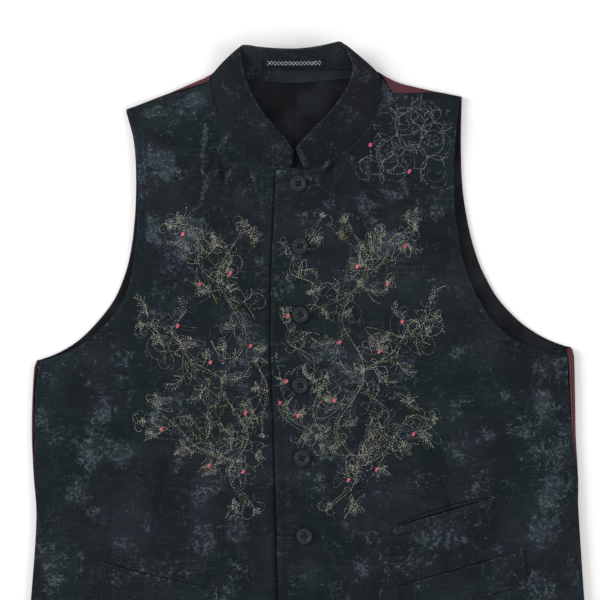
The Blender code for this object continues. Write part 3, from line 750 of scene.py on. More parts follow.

# %% [markdown]
# ## The fronts
#
# The fronts are the face of the garment. Their grid has a point about every 2.5 mm and much closer
# rows at the cut edge, where the cloth turns in. Each row is as long as the front is wide there, so
# the grid fans round the armhole without any trimming. Two more tables say where the cloth was
# scraped and where shade is painted into a deep crease.

# %% Where the cloth was rubbed
SCRAPES = [
    Fold(-98.7, 252, -103.6, 185.6, 2.4, 2), Fold(-90.9, 209, -108.4, 154.4, 2.4, 2.2),
    Fold(-73.3, 215, -82, 173.9, 2.1, 2), Fold(-76.2, 238, -87, 215, 2.4, 1.5),
    Fold(-151.4, 232.5, -157.3, 193.4, 2.4, 1.8), Fold(-159.3, 163, -138.7, 124, 6, 1.3),
    Fold(-137.8, 220, -135.8, 178, 7.6, 1.8), Fold(-134, 142, -94, 128, 15, 1.6),
    Fold(-118, 273, -92, 256, 12, 1.2), Fold(-146, 92, -150, 40, 12, 0.8),
    Fold(54.7, 186, 53.7, 138, 6.4, 1.5), Fold(57.6, 210, 61.5, 180, 2.4, 2.2),
    Fold(92.8, 194, 98.7, 168, 2.4, 2), Fold(78, 186, 87, 156, 6.8, 1.4), Fold(73.3, 154, 82, 98, 15, 1.4),
    Fold(114, 94, 128, 78, 7.6, 1.3), Fold(126, 168, 131, 146, 7.6, 1.1), Fold(40, 215, 46, 196, 1.9, 1.8),
    Fold(227.6, 24, 240, -17.6, 14, 1.2), Fold(240, -14, 222.8, -52, 12, 1.2),
    Fold(208, -40, 218, -75, 5.1, 1.5), Fold(216, -71, 234, -82, 6, 1.5),
    Fold(258, -44, 242, -108, 10, 1.3), Fold(246, -98, 222, -142, 13, 1.3),
    Fold(222, -140, 241, -174, 17, 1.3), Fold(128, -71, 158, -87, 11, 1.3),
    Fold(168, -60, 187, -67, 6.8, 1.5), Fold(135, -31, 153, -35, 5.1, 1.4),
    Fold(187, -25, 201, -19, 6, 1.4), Fold(141, 28, 147, 10, 7.6, 1.3), Fold(-226, -68, -198, -98, 16, 1.6),
    Fold(-241, -114, -210, -126, 11, 1.1), Fold(-223, -134.8, -194, -134.8, 6.8, 1.5),
    Fold(-189, -158, -177, -183, 13, 1.3), Fold(-116, -108, -88, -127, 13, 1.3),
    Fold(-105, -137, -94, -188, 11, 1.3), Fold(-74, -134, -58, -171, 10, 1.3),
    Fold(-182, 18, -170, 5, 7.6, 1.5), Fold(-209, -36, -186, -48, 7.6, 1.5),
    Fold(-154, -30, -143, -60, 6.8, 1.5), Fold(-262, 8, -234, -29, 7.6, 1.3),
    Fold(96, -150, 170, -168, 12, 1.1), Fold(40, -178, 66, -202, 12, 1),
    Fold(-250, -170, -244, -240, 12, 0.6), Fold(-200, -262, -130, -282, 18, 1.2),
    Fold(-76, -230, -52, -296, 14, 1), Fold(60, -276, 128, -262, 16, 1.2),
    Fold(180, -236, 236, -276, 18, 1.2), Fold(-60, 60, -56, -10, 14, 1.1),
    Fold(-22, 110, -14, 60, 6.8, 1.1), Fold(20, 40, 34, -20, 14, 1.1), Fold(-48, 176, -44, 140, 5.1, 1.1),
    Fold(8, -60, 26, -96, 10, 0.8), Fold(-22, -30, -20, -66, 6, 1), Fold(-160, 240, -160, 160, 2.7, 1.5),
    Fold(-166, 150, -134, 112, 6, 1.4), Fold(-112, 150, -124, 118, 5, 1.2),
    Fold(24, 215, 12, 190, 2.3, 2.1), Fold(70, 226, 74, 196, 2.2, 1.5), Fold(108, 176, 104, 128, 2.7, 1.4),
    Fold(-52, 196, -50, 172, 2, 1.4), Fold(75.5, 290, 82, 252, 4, 2.2), Fold(-148, 226, -132, 186, 9, 1.6),
    Fold(-128, 258, -98, 276, 7, 1.8), Fold(-168, 246, -128, 263, 6, 1.4),
    Fold(-196, -20, -214, -74, 8, 1.1), Fold(-168, -66, -196, -92, 9, 1.2),
    Fold(-136, -84, -120, -104, 8, 1.1), Fold(-262, -30, -250, -76, 7, 1.1), Fold(232, 6, 222, -80, 8, 0.8),
    Fold(254, -60, 214, -196, 10, 0.8), Fold(206, -196, 250, -226, 18, 1), Fold(92, 20, 100, -10, 10, 0.9),
]


def rubbed_most(x, y):
    """How strongly each point was rubbed: most along the scrapes, least in the troughs of creases."""
    return ridges(x, y, SCRAPES) + 0.3 * ridges(x, y, CREASES) - 0.42


# Creases darkened with painted shade, where shade falls into them
SHADED_CREASES = [
    Fold(-87, 214, -80.6, 176, 2.6, 1), Fold(-72, 216, -82, 184, 2.4, 0.9),
    Fold(-93, 238, -104, 196, 2.6, 0.7), Fold(33.5, 213, 11, 186, 2.8, 1), Fold(46, 224, 38, 196, 2.6, 0.7),
    Fold(64, 246, 66, 214, 2.6, 0.6), Fold(-56, 205, -64, 184, 2.4, 0.5), Fold(-148, 96, -120, 74, 3, 0.4),
    Fold(148, 62, 118, 46, 3, 0.4), Fold(-226, 6, -196, -44, 3, 0.4),
]


def painted_shade_at(x, y, lapped):
    """How much painted shade each point gets: in the listed creases, and on the lapped front beside the
    lap's edge.
    """
    painted_shade = ridges(x, y, SHADED_CREASES)
    if lapped:
        # Painted shadow beside the lap's edge, wider towards the hem
        beside = edge_distance(x, y, LEFT_FREE[0])[0]
        painted_shade = painted_shade + 0.9 * smoothstep(1, 0.2, beside / (3.4 + 3.2 * smoothstep(-70, -150, y)))
    return np.clip(painted_shade, 0, 1)


print("scrapes:", len(SCRAPES), "deep creases:", len(SHADED_CREASES))

# %% Both fronts
NECK_SEAM = 0.45


def front_rows(sections, dips):
    """The flat cut of a front as a grid: rows from hem to shoulder, columns from inner to outer edge."""
    inner, outer, inner_corners, outer_corners = front_edges(sections)
    middle = np.linspace(0, 1, round(WIDEST_ROW / FRONT_SPACING))
    rows = []
    for station in stations([inner, outer], FRONT_SPACING, True):
        start = curve_point(inner, station, inner_corners)
        end = curve_point(outer, station, outer_corners)
        neck = smoothstep(inner_corners[0] + 0.3, inner_corners[0] + 1.3, station)
        start = start - NECK_SEAM * neck * unit(end - start)
        length = np.linalg.norm(end - start)
        share = with_ends(EDGE_STEPS[-1] + middle * (length - 2 * EDGE_STEPS[-1]), length) / length
        row = start + (end - start) * share[:, None]
        dip = np.interp(share, [d[0] for d in dips], [d[1] for d in dips])
        row[:, 1] -= dip * smoothstep(len(sections) - 7, len(sections) - 1, station)
        rows.append(row)
    return np.array(rows)


def make_front(name, node, sections, dips, lapped):
    flat = front_rows(sections, dips)
    x, y = flat[:, :, 0], flat[:, :, 1]
    height, distance = front_top(x, y, lapped)
    free = [edge_distance(x, y, line)[0] for line in (RIGHT_FREE if lapped else LEFT_FREE)]
    curl = turned_edge(np.minimum.reduce(free), FRONT_WALL)
    made = layer(name, x, y, height - curl, height - FRONT_WALL + curl, FRONT_CLOTH)
    paint_both(made, "edge", distance)
    paint_both(made, "rubbed", rubbed_most(x, y))
    # Painted shade in the deep creases, and beside the lap's edge on the lapped front
    paint_both(made, "painted_shade", painted_shade_at(x, y, lapped))
    print(name, "has", len(made.data.polygons), "faces")
    return stand_for(made, node)


front_right = make_front("right_front_cloth", "front_right", RIGHT_SECTIONS, RIGHT_DIPS, True)
front_left = make_front("left_front_cloth", "front_left", LEFT_SECTIONS, LEFT_DIPS, False)

# %% [markdown]
# ## The striped back
#
# The back is one piece of crimson cloth with fine dark and pale stripes that run from neck to hem. It
# rolls up round both sides and over both shoulders to its seams, and only that rolled part shows from
# the front. On the shoulders the stripes slant there, because a stripe that goes over a sloping fold
# is mirrored by it. The mesh therefore carries the place of each point across the uncut cloth, and the
# stripes are drawn from that number. A second number marks the dark binding along the neck and the
# centre seam.

# %% The back's cut
BackSection = namedtuple("BackSection", "right_x right_y right_lip left_x left_y left_lip")
BACK_SECTIONS = [
    BackSection(-277, HEM_Y, 4.6, 277, HEM_Y, 4.6),
    BackSection(-274.9, -281.5, 4.6, 274.9, -281.5, 4.6),
    BackSection(-268.3, -203.3, 4.6, 269.2, -203.3, 4.6),
    BackSection(-264.5, -142, 4.6, 265.6, -142, 4.6),
    BackSection(-267.4, -104, 5.2, 265.4, -104, 6),
    BackSection(-269.4, -62, 7, 263.1, -62, 9.4),
    BackSection(-268.9, -27, 7.2, 262.4, -22, 11.4),
    BackSection(-267, 4.5, 7.2, 261.4, 16, 12.2),
    BackSection(-265.2, 9.6, 7.2, 259.6, 22.6, 12.2),
    BackSection(-264.6, 10.6, 1, 258.6, 23.4, 1),
    BackSection(-241.6, 19.7, 0, 236.7, 31.4, 0),
    BackSection(-223, 31.4, 0, 220.5, 40.3, 0),
    BackSection(-203.4, 51, 0, 206.3, 51, 0),
    BackSection(-188.8, 70.6, 0, 187.8, 70.6, 0),
    BackSection(-180, 90.1, 0, 176, 90.1, 0),
    BackSection(-174.1, 109.7, 0, 167.2, 109.7, 0),
    BackSection(-169.4, 140, 0, 158.6, 140, 0),
    BackSection(-167.2, 180, 0, 152.2, 180, 0),
    BackSection(-169.2, 222, 0, 150.6, 225, 0),
    BackSection(-176.6, 254, 0, 151.4, 266.8, 0),
]
TOP_BEND_FROM = 12.0

TopFold = namedtuple("TopFold", "x y lip")
TOP_FOLD = [
    TopFold(-176.6, 256.8, 4.6), TopFold(-154.5, 265.6, 4.6), TopFold(-134, 273.4, 6),
    TopFold(-114.4, 281.8, 9.6), TopFold(-99.5, 288.3, 11.2), TopFold(-95.5, 290.7, 11.6),
    TopFold(-93, 292.4, 4.4), TopFold(-84, 296.2, 4.4), TopFold(-60, 297.5, 4.4),
    TopFold(-11, 297.5, 4.4), TopFold(38, 297.5, 4.4), TopFold(62, 296.4, 4.4),
    TopFold(71.5, 293, 4.4), TopFold(77.4, 289, 10.8), TopFold(81, 287.2, 16.2),
    TopFold(84.5, 285.4, 18.7), TopFold(92, 282.3, 15.8), TopFold(110.5, 277.9, 10.7),
    TopFold(128.1, 274, 7.2), TopFold(151.4, 269.6, 4.6),
]
FOLD_X = np.array([fold.x for fold in TOP_FOLD])
FOLD_Y = np.array([fold.y for fold in TOP_FOLD])
print("the back's sections:", len(BACK_SECTIONS), "and points of its top fold:", len(TOP_FOLD))

# %% Striped cloth
STRIPE_PITCH = 2.2
striped = Finish("striped back", Roughness=0.62, Specular_IOR_Level=0.25)
across = striped.painted("across") + (striped.noise(16, 2) - 0.5) * 0.5
thread_noise = striped.noise(0.9, 2, 0.7)
hill = abs(across / STRIPE_PITCH % 1 - 0.5) * 2
dark = striped.step(hill, 0.66, 0.9)
pale = striped.step(hill, 0.44, 0.2)
red = striped.mix(thread_noise, shade(70, 20, 33), shade(55, 15, 27))
red = striped.mix(pale * 0.6, red, shade(122, 76, 86))
red = striped.mix(dark, red, shade(30, 17, 23))
bound = striped.painted("bound")
striped.wear("Base Color", striped.mix(bound, red, shade(26, 30, 32)))
striped.wear("Roughness", 0.55 + thread_noise * 0.2)
striped.relief(thread_noise + hill * 0.5, 0.12)
print("stripes are", STRIPE_PITCH, "mm apart")


# %% The back's shell
BACK_RIGHT = [np.array([s.right_x, s.right_y]) for s in BACK_SECTIONS]
BACK_LEFT = [np.array([s.left_x, s.left_y]) for s in BACK_SECTIONS]
LAST_BACK = len(BACK_SECTIONS) - 1


def back_edges(station):
    """The back's two edge points and their rolled lips at a station."""
    numbers = range(len(BACK_SECTIONS))
    right_lip = np.interp(station, numbers, [s.right_lip for s in BACK_SECTIONS])
    left_lip = np.interp(station, numbers, [s.left_lip for s in BACK_SECTIONS])
    return curve_point(BACK_RIGHT, station), curve_point(BACK_LEFT, station), (right_lip, left_lip)


def top_rise(x, station):
    """How far the back's rows bow up towards its top fold, at a place across it."""
    fold = np.interp(x, FOLD_X, FOLD_Y) - ROLL_RADIUS
    right, left = BACK_RIGHT[-1], BACK_LEFT[-1]
    straight = right[1] + (left[1] - right[1]) * (x - right[0]) / (left[0] - right[0])
    bend = np.clip((station - TOP_BEND_FROM) / (LAST_BACK - TOP_BEND_FROM), 0, 1)
    return (fold - straight) * bend**2


def rolled(length):
    """How far out and up a point lies that is this far along the cloth from where it leaves the table."""
    turn = np.clip(length / ROLL_RADIUS, 0, math.pi)
    beyond = np.maximum(length - math.pi * ROLL_RADIUS, 0)
    return ROLL_RADIUS * np.sin(turn) - beyond, ROLL_RADIUS * (1 - np.cos(turn))


def side_lip(x, y, lip, side, lip_steps):
    """The points of a row that roll up round one side, each with its place across the cloth."""
    points = []
    for step in lip_steps:
        out, up = rolled(lip * step)
        out = out if lip > FLAT_LIP else FLAT_EDGE * step
        points.append((x + side * out, y, up, x + side * lip * step))
    return points


def back_row(station, shares, lip_steps):
    right, left, (right_lip, left_lip) = back_edges(station)
    start_x = right[0] + ROLL_RADIUS * min(1, right_lip / FULL_LIP)
    end_x = left[0] - ROLL_RADIUS * min(1, left_lip / FULL_LIP)
    x = start_x + (end_x - start_x) * shares
    y = right[1] + (left[1] - right[1]) * shares
    y = y + top_rise(right[0] + (left[0] - right[0]) * shares, station)
    before = side_lip(start_x, y[0], right_lip, -1, lip_steps)
    after = side_lip(end_x, y[-1], left_lip, 1, lip_steps)
    return before[::-1] + [(x[i], y[i], 0.0, x[i]) for i in range(len(shares))] + after


def mirrored_across(x, y):
    """Where a point of the rolled shoulder lies across the uncut cloth, mirrored at its fold."""
    slope = np.gradient(FOLD_Y, FOLD_X)
    turn = np.arctan(np.interp(x, FOLD_X, np.convolve(np.pad(slope, 1, "edge"), [0.25, 0.5, 0.25], "valid")))
    inside = (np.interp(x, FOLD_X, FOLD_Y) - y) * np.cos(turn)
    return x - 2 * inside * np.sin(turn)


def grid_normals(grid):
    """A unit normal at each point of a grid, square to its rows and columns."""
    by_row, by_column = np.gradient(grid, axis=0), np.gradient(grid, axis=1)
    normals = np.cross(by_column, by_row)
    return normals / np.linalg.norm(normals, axis=2, keepdims=True)


def make_back():
    lip_steps = np.linspace(0, 1, 12)[1:]
    places = np.unique(np.concatenate([FOLD_X, np.linspace(FOLD_X[0], FOLD_X[-1], 70)]))
    shares = (places - places[0]) / (places[-1] - places[0])
    rows = [back_row(station, shares, lip_steps) for station in stations([BACK_RIGHT, BACK_LEFT], 7.0)]
    crest = np.array(rows[-1])
    lips = np.interp(crest[:, 0], FOLD_X, [f.lip for f in TOP_FOLD])
    for step in lip_steps:
        out, up = rolled(lips * step)
        y = crest[:, 1] + out
        folded = np.where(up > ROLL_RADIUS, mirrored_across(crest[:, 0], y), crest[:, 3])
        rows.append(np.column_stack([crest[:, 0], y, up, folded]))
    grid = np.array([np.asarray(row, float) for row in rows])
    outer = grid[:, :, :3]
    normals = grid_normals(outer)
    normals *= -np.sign(normals[0, outer.shape[1] // 2, 2])
    made = shell("striped_back_cloth", outer, outer - BACK_WALL * normals, striped)
    paint_both(made, "across", grid[:, :, 3])
    neck = smoothstep(-95, -92, outer[:, :, 0]) * smoothstep(74, 72, outer[:, :, 0])
    outside = neck * smoothstep(0.5, 2.0, outer[:, :, 2])
    seam = smoothstep(11, 7, np.abs(outer[:, :, 0] - CENTRE_BACK_X))
    inside = np.maximum(neck * smoothstep(284, 292, outer[:, :, 1]), seam)
    paint(made, "bound", np.concatenate([outside.ravel(), inside.ravel()]))
    return made


back = stand_for(make_back(), "back")
print("back faces:", len(back.data.polygons))

# %% [markdown]
# ## The lining
#
# The back is lined with black satin in two halves with a seam at the centre back. It shows inside the
# neck and as a dark band inside each armhole. Satin is smooth, so it takes a soft sheen from its
# roughness, fine crosswise threads, and slack ripples where nothing holds it down. More sheen is
# painted into its colour as mottled lighter patches.

# %% Lining halves
satin = Finish("black satin", Roughness=0.7, Specular_IOR_Level=0.08)
weft = satin.noise(0.7, 2, 0.6, (8, 1, 1))
# Mottled lighter patches: painted sheen of the satin
painted_sheen = satin.step(satin.noise(34, 3, 0.5), 0.38, 0.66)
satin.wear("Base Color", satin.mix(painted_sheen, shade(16, 17, 20), shade(29, 32, 36)))
satin.wear("Roughness", 0.6 + weft * 0.2)
satin.relief(weft + satin.noise(5, 2) * 1.5, 0.15)


def lining_grid(side, spacing, columns):
    """Half of the back lining, from the centre-back seam to the side or armhole."""
    rows = []
    for station in stations([BACK_RIGHT, BACK_LEFT], spacing):
        right, left, lips = back_edges(station)
        sidelong = smoothstep(0, FULL_LIP, lips[0 if side < 0 else 1])
        inset = LINING_EDGE_INSET + (LINING_SIDE_INSET - LINING_EDGE_INSET) * sidelong
        outer_x = right[0] + inset if side < 0 else left[0] - inset
        start_x = CENTRE_BACK_X + side * GAP / 2
        edge = np.array(EDGE_STEPS) / abs(outer_x - start_x)
        shares = np.concatenate([edge, np.linspace(0.015, 0.985, columns), 1 - edge[::-1]])
        x = start_x + (outer_x - start_x) * shares
        share = (x - right[0]) / (left[0] - right[0])
        y = right[1] + (left[1] - right[1]) * share + top_rise(x, station)
        rows.append(np.column_stack([x, y]))
    flat = np.array(rows)
    flat[0, :, 1] += LINING_SIDE_INSET
    flat[-1, :, 1] -= LINING_TOP_INSET
    return flat


def make_lining(name, node, side):
    flat = lining_grid(side, 4.5, 30)
    x, y = flat[:, :, 0], flat[:, :, 1]
    inside = np.minimum(np.abs(x - x[:, :1]), np.abs(x - x[:, -1:]))
    slack = np.clip(unevenness(x * 1.7 + 40, y * 1.3) * 0.6 + 0.25, 0, 0.9)
    slack = slack * smoothstep(0, 12, inside) * smoothstep(276, 262, y)
    seam = np.abs(x - CENTRE_BACK_X)
    curl = turned_edge(inside, LINING_WALL)
    sunk = 0.25 * np.exp(-((seam / 1.6) ** 2)) * smoothstep(0, 1.5, seam + 1.2)
    foot = BACK_WALL + GAP
    made = layer(name, x, y, foot + LINING_WALL + slack - curl - sunk, foot + curl, satin)
    return stand_for(made, node)


lining_right = make_lining("right_lining", "lining_right", -1)
lining_left = make_lining("left_lining", "lining_left", 1)
print("lining faces:", len(lining_right.data.polygons) + len(lining_left.data.polygons))

# %% [markdown]
# ## The stand collar
#
# The collar is one shaped band. At the back it stands nearly upright, and towards the front it lies
# down over the neckline and ends in two rounded fronts that meet above the first button. Its cloth is
# plainer than the fronts, charcoal and hardly scraped. The band is swept between two curves, its seam
# and its free edge, with a slight bow outwards as the stiffening gives it. Just inside the free edge
# runs a shallow groove, where the turned cloth ends.

# %% The collar's cut and cloth
CollarSection = namedtuple("CollarSection", "seam_x seam_y seam_z edge_x edge_y edge_z")
COLLAR_SECTIONS = [
    CollarSection(-15.2, 200.5, 5.3, -13, 216.6, 9.8),
    CollarSection(-29.4, 202.1, 5.8, -20.5, 227.1, 12),
    CollarSection(-44, 207, 6.6, -30.3, 238.2, 13.5),
    CollarSection(-58.7, 216.3, 7, -39.5, 249.3, 15),
    CollarSection(-70.4, 227.5, 7, -47.8, 260.9, 16),
    CollarSection(-80.2, 241.2, 7, -54.1, 272.9, 17.5),
    CollarSection(-88, 256.4, 6.8, -59.4, 285.5, 19),
    CollarSection(-92.6, 270.4, 6.2, -62.7, 298, 20.5),
    CollarSection(-94.4, 282, 5.2, -64.8, 309.5, 22),
    CollarSection(-93.4, 291, 3.3, -64, 317.8, 22),
    CollarSection(-86.5, 295.4, 2.9, -58.3, 318.6, 22.8),
    CollarSection(-75, 297, 3.2, -49.5, 317, 25.5),
    CollarSection(-59, 297.3, 3.4, -38.8, 315.6, 28),
    CollarSection(-36.2, 297.3, 3.4, -25.3, 314.6, 30),
    CollarSection(-11, 297.3, 3.4, -11.7, 314.4, 30.5),
    CollarSection(14.7, 297.3, 3.4, -0.1, 315.3, 30),
    CollarSection(37.2, 297.3, 3.4, 9.6, 316.8, 28.5),
    CollarSection(53.8, 296.6, 3.2, 18.3, 318.7, 26),
    CollarSection(65.4, 294.6, 2.9, 26.1, 320.8, 23.4),
    CollarSection(71.6, 290.8, 3.3, 33, 321.6, 22.2),
    CollarSection(73.4, 284.6, 4.8, 40.2, 310.4, 22.5),
    CollarSection(73.4, 277.4, 5.8, 44.8, 297.9, 21.5),
    CollarSection(71.9, 266.2, 6.4, 42.7, 286.3, 20.5),
    CollarSection(67, 252, 6.9, 37.4, 275.3, 19),
    CollarSection(58.7, 238.3, 7, 30.6, 264.7, 17.5),
    CollarSection(47.9, 226.6, 7, 22.3, 254, 16.5),
    CollarSection(36.2, 217.3, 7, 13.6, 244.9, 15.5),
    CollarSection(23.5, 208.9, 7, 4.8, 236.2, 14.5),
    CollarSection(10.7, 202.1, 7, -3.9, 227, 13.5),
    CollarSection(-2.5, 198.6, 7, -11.4, 218.2, 12.5),
]
COLLAR_HEIGHT = 30.0
COLLAR_BOW = 1.2
COLLAR_REACH = 0.018

COLLAR_SCRAPES = [
    Fold(34, 264, 64, 236, 9, 0.9), Fold(46, 302, 68, 276, 8, 0.8), Fold(-82, 278, -62, 262, 8, 0.8),
    Fold(-30, 228, -18, 208, 7, 0.8), Fold(-72, 252, -50, 238, 8, 0.5), Fold(2, 236, 22, 212, 7, 0.5),
    Fold(-80, 300, -62, 312, 7, 0.6),
]

COLLAR_CLOTH = worn_twill(
    "collar twill",
    (shade(20, 26, 29), shade(25, 27, 31)),
    (shade(66, 74, 78), shade(70, 71, 76)),
    -0.03,
    0.7,
)
print("the collar's sections:", len(COLLAR_SECTIONS))


# %% The collar band
def collar_normals(grid):
    """Normals that point out of the neck: up at the front ends and away from it at the back."""
    normals = grid_normals(grid)
    return normals * np.sign(normals[0, 0, 2])


def collar_grid(spacing, rises, fine_ends=False):
    """The collar's outer side: a row for each place along it, a column for each share of its height."""
    seam = [np.array([s.seam_x, s.seam_y, s.seam_z]) for s in COLLAR_SECTIONS]
    edge = [np.array([s.edge_x, s.edge_y, s.edge_z]) for s in COLLAR_SECTIONS]
    rows = []
    for station in stations([seam, edge], spacing, fine_ends):
        low, high = curve_point(seam, station), curve_point(edge, station)
        rows.append(low + (high - low) * rises[:, None])
    grid = np.array(rows)
    bow = COLLAR_BOW * 4 * rises * (1 - rises)
    return grid + collar_normals(grid) * bow[None, :, None]


def make_collar():
    rises = spread(COLLAR_HEIGHT, 1.6) / COLLAR_HEIGHT
    rises[0] = -COLLAR_REACH
    outer = collar_grid(2.4, rises, True)
    normals = collar_normals(outer)
    steps = np.linalg.norm(np.diff(outer, axis=0), axis=2)
    walked = np.concatenate([np.zeros((1, len(rises))), np.cumsum(steps, axis=0)])
    heights = np.linalg.norm(outer - outer[:, :1], axis=2)
    reach = np.minimum(walked, walked[-1] - walked)
    distance = np.minimum(reach, heights[:, -1:] - heights)
    curl = turned_edge(distance, COLLAR_WALL)
    soft = 0.35 * np.sin(walked / 7.3 + heights / 9.0) * np.sin(walked / 23.0 + 1.0)
    soft = soft * smoothstep(0, 9, distance)
    seam_roll = 0.3 * np.exp(-(((heights[:, -1:] - heights - 3.4) / 1.2) ** 2))
    lift = (soft - seam_roll * smoothstep(0, 4, reach))[:, :, None] * normals
    upper = outer + lift - normals * curl[:, :, None]
    lower = outer + lift - normals * (COLLAR_WALL - curl)[:, :, None]
    made = shell("collar_band", upper, lower, COLLAR_CLOTH)
    paint_both(made, "edge", distance)
    end_band = 2.2 * smoothstep(6.5, 2.5, walked[-1] - walked) * smoothstep(0.5, 3, heights)
    free_edge = 0.9 * smoothstep(2.6, 0.6, heights[:, -1:] - heights)
    scraped = ridges(outer[:, :, 0], outer[:, :, 1], COLLAR_SCRAPES)
    paint_both(made, "rubbed", end_band + free_edge + scraped)
    # Painted light on the collar's inner side, which the lamps hardly reach
    paint(made, "inside", np.concatenate([np.zeros(distance.size), np.full(distance.size, 0.75)]))
    return made


collar = stand_for(make_collar(), "collar")
print("collar faces:", len(collar.data.polygons))

# %% [markdown]
# ## Inside the neck
#
# A curved band of the fronts' cloth, with its unworn side up, finishes the back of the neck. A small
# satin label stands above it on the inside of the collar. A row of silver lozenges is woven into it,
# drawn by the shader from two numbers: how far along the label a point lies, and how high.


# %% The facing and the label
def make_facing():
    chosen = COLLAR_SECTIONS[6:24]
    seam = [np.array([s.seam_x, s.seam_y]) for s in chosen]
    middle = np.array([CENTRE_BACK_X, 258.0])
    places = spread(FACING_WIDTH, 1.6)
    rows = []
    for station in stations([seam], 3.0, True):
        point = curve_point(seam, station)
        inwards = unit((middle - point) * np.array([1.0, 1.6]))
        rows.append([point + inwards * (FACING_INSET + place) for place in places])
    flat = np.array(rows)
    distance = np.minimum(places, FACING_WIDTH - places)[None, :] * np.ones((len(rows), 1))
    curl = turned_edge(distance, LINING_WALL)
    top = BACK_WALL + LINING_WALL + 2 * GAP + LINING_WALL
    x, y = flat[:, :, 0], flat[:, :, 1]
    made = layer("neck_facing_band", x, y, top - curl, top - LINING_WALL + curl, FRONT_CLOTH)
    paint_both(made, "edge", distance + 3)
    paint(made, "rubbed", np.full(2 * distance.size, -0.7))
    # Painted light on the facing, which lies in the shade of the neck
    paint(made, "inside", np.full(2 * distance.size, 0.55))
    return made


def make_label():
    """A rectangle of satin on the inside of the collar, its ends square to the seam."""
    rises = np.linspace(0.1, 0.56, 14)
    grid = collar_grid(2.0, np.array([0.0, *rises, 1.0]))
    lower = grid - (COLLAR_WALL + GAP + 0.25) * collar_normals(grid)
    behind = lower[(grid[:, 0, 0] > -80) & (grid[:, 0, 0] < 60) & (grid[:, 0, 1] > 294)][:, 1:-1]
    x = np.linspace(-42.0, 17.0, 46)
    rows = []
    for column in range(len(rises)):
        line = behind[:, column]
        rows.append(np.column_stack([x, *[np.interp(x, line[:, 0], line[:, axis]) for axis in (1, 2)]]))
    sheet = np.array(rows)
    normals = grid_normals(sheet)
    normals *= -np.sign(normals[:, :, 1:2])
    made = shell("woven_label", sheet + LABEL_WALL * normals, sheet, label_satin)
    width, height = np.meshgrid(x - x[0], np.linspace(0, 1, len(rises)))
    paint_both(made, "along", width)
    paint_both(made, "risen", height)
    return made


label_satin = Finish("label satin", Roughness=0.5, Specular_IOR_Level=0.25)
warp = label_satin.noise(0.5, 1, 0.5, (1, 9, 1))
along, risen = label_satin.painted("along"), label_satin.painted("risen")
zigzag = abs(along / 3.6 % 1 - 0.5) * 2
braid = label_satin.step(abs(abs(risen - 0.5) - zigzag * 0.19), 0.07, 0.02)
braid = braid * label_satin.step(along, 3.0, 3.6) * label_satin.step(along, 56.0, 55.4)
braid = braid * label_satin.step(label_satin.noise(0.9, 2, 0.6), 0.36, 0.56)
plain = label_satin.mix(warp, shade(22, 25, 28), shade(32, 35, 39))
label_satin.wear("Base Color", label_satin.mix(braid, plain, shade(188, 194, 198)))
label_satin.wear("Roughness", 0.35 + warp * 0.25)
label_satin.relief(warp, 0.08)

stand_for(make_facing(), "neck_facing")
label = stand_for(make_label(), "label")
print("label faces:", len(label.data.polygons))

# %% [markdown]
# ## Pocket welts
#
# A welt is a narrow strip of the same cloth, sewn down along its foot and both ends, while its top
# edge stands a little off the front so that a hand can get in. The shells follow the fronts' own
# folds. The mouth behind each top edge shows the dark pocket bag, which is a thin strip of its own,
# painted near black so that it also stands in for the shadow under the welt's edge.

# %% Welts and their mouths
Welt = namedtuple("Welt", "name start_x start_y end_x end_y depth lean sag")
WELTS = [
    Welt("welt_upper", 84.1, -151.6, 180.9, -122.8, 8.6, 1, 0),
    Welt("welt_lower_left", 69.6, -214.2, 211, -173.4, 33.2, 3.4, 0.8),
    Welt("welt_lower_right", -221, -178.8, -87.1, -212.3, 35, -1.9, 2.2),
]


def welt_place(welt, share, down):
    """A point of a welt, by its share of the way along and how many millimetres down from its top."""
    x = welt.start_x + (welt.end_x - welt.start_x) * share + welt.lean * down / welt.depth
    y = welt.start_y + (welt.end_y - welt.start_y) * share
    return x, y - welt.sag * 4 * share * (1 - share) - down


def make_welt(welt):
    width = math.hypot(welt.end_x - welt.start_x, welt.end_y - welt.start_y)
    along = spread(width, 2.2)
    down = spread(welt.depth, 1.7)
    share, depth = np.meshgrid(along / width, down)
    x, y = welt_place(welt, share, depth)
    height, far = front_top(x, y, welt.start_x < 0)
    distance = np.minimum(np.minimum(along, width - along)[None, :], np.minimum(depth, welt.depth - depth))
    curl = turned_edge(distance, WELT_WALL)
    gape = 0.5 * smoothstep(7, 0, depth) * smoothstep(0, 0.3, share) * smoothstep(0, 0.3, 1 - share)
    base = height + WELT_GAP + gape
    made = layer(welt.name + "_cloth", x, y, base + WELT_WALL - curl, base + curl, FRONT_CLOTH)
    paint_both(made, "edge", distance)
    paint_both(made, "rubbed", rubbed_most(x, y) + 0.1)
    return stand_for(made, welt.name)


def make_mouth(welt):
    """The dark bag cloth in the mouth of a pocket, a sliver that tapers to both ends, near black as painted
    shadow.
    """
    share, side = np.meshgrid(np.linspace(0.0, 1.0, 60), np.linspace(0, 1, 5))
    open_by = (2.6 if welt.depth < 12 else 1.7) * np.clip(np.sin(math.pi * share), 0, 1) ** 0.35
    x, y = welt_place(welt, share, 1.2 - side * (0.2 + open_by))
    top = front_top(x, y, welt.start_x < 0)[0] + 0.32 * np.sin(math.pi * side)
    layer(welt.name + "_mouth", x, y, top, top - 0.5, bag_and_shade_black)


# Near black for the pocket bag and the darkest thread lines, dark enough to stand in for shadow in the
# pocket mouths and above the slit
bag_and_shade_black = Finish("pocket bag and painted shade black", Roughness=0.95, Specular_IOR_Level=0.05)
bag_and_shade_black.wear("Base Color", bag_and_shade_black.mix(bag_and_shade_black.noise(2, 2), shade(6, 7, 8), shade(14, 15, 17)))
welts = [make_welt(welt) for welt in WELTS]
for welt in WELTS:
    make_mouth(welt)
print("welts:", ", ".join(welt.name for welt in welts))

# %% [markdown]
# ## Buttons
#
# Four-hole buttons of dark horn, 15.6 mm across, with a rounded rim and a dished middle. A profile
# turned on a lathe gives the form, and four pins taken away by a boolean give real holes. One button
# is made well and copied seven times, each turned as it happened to be sewn on.

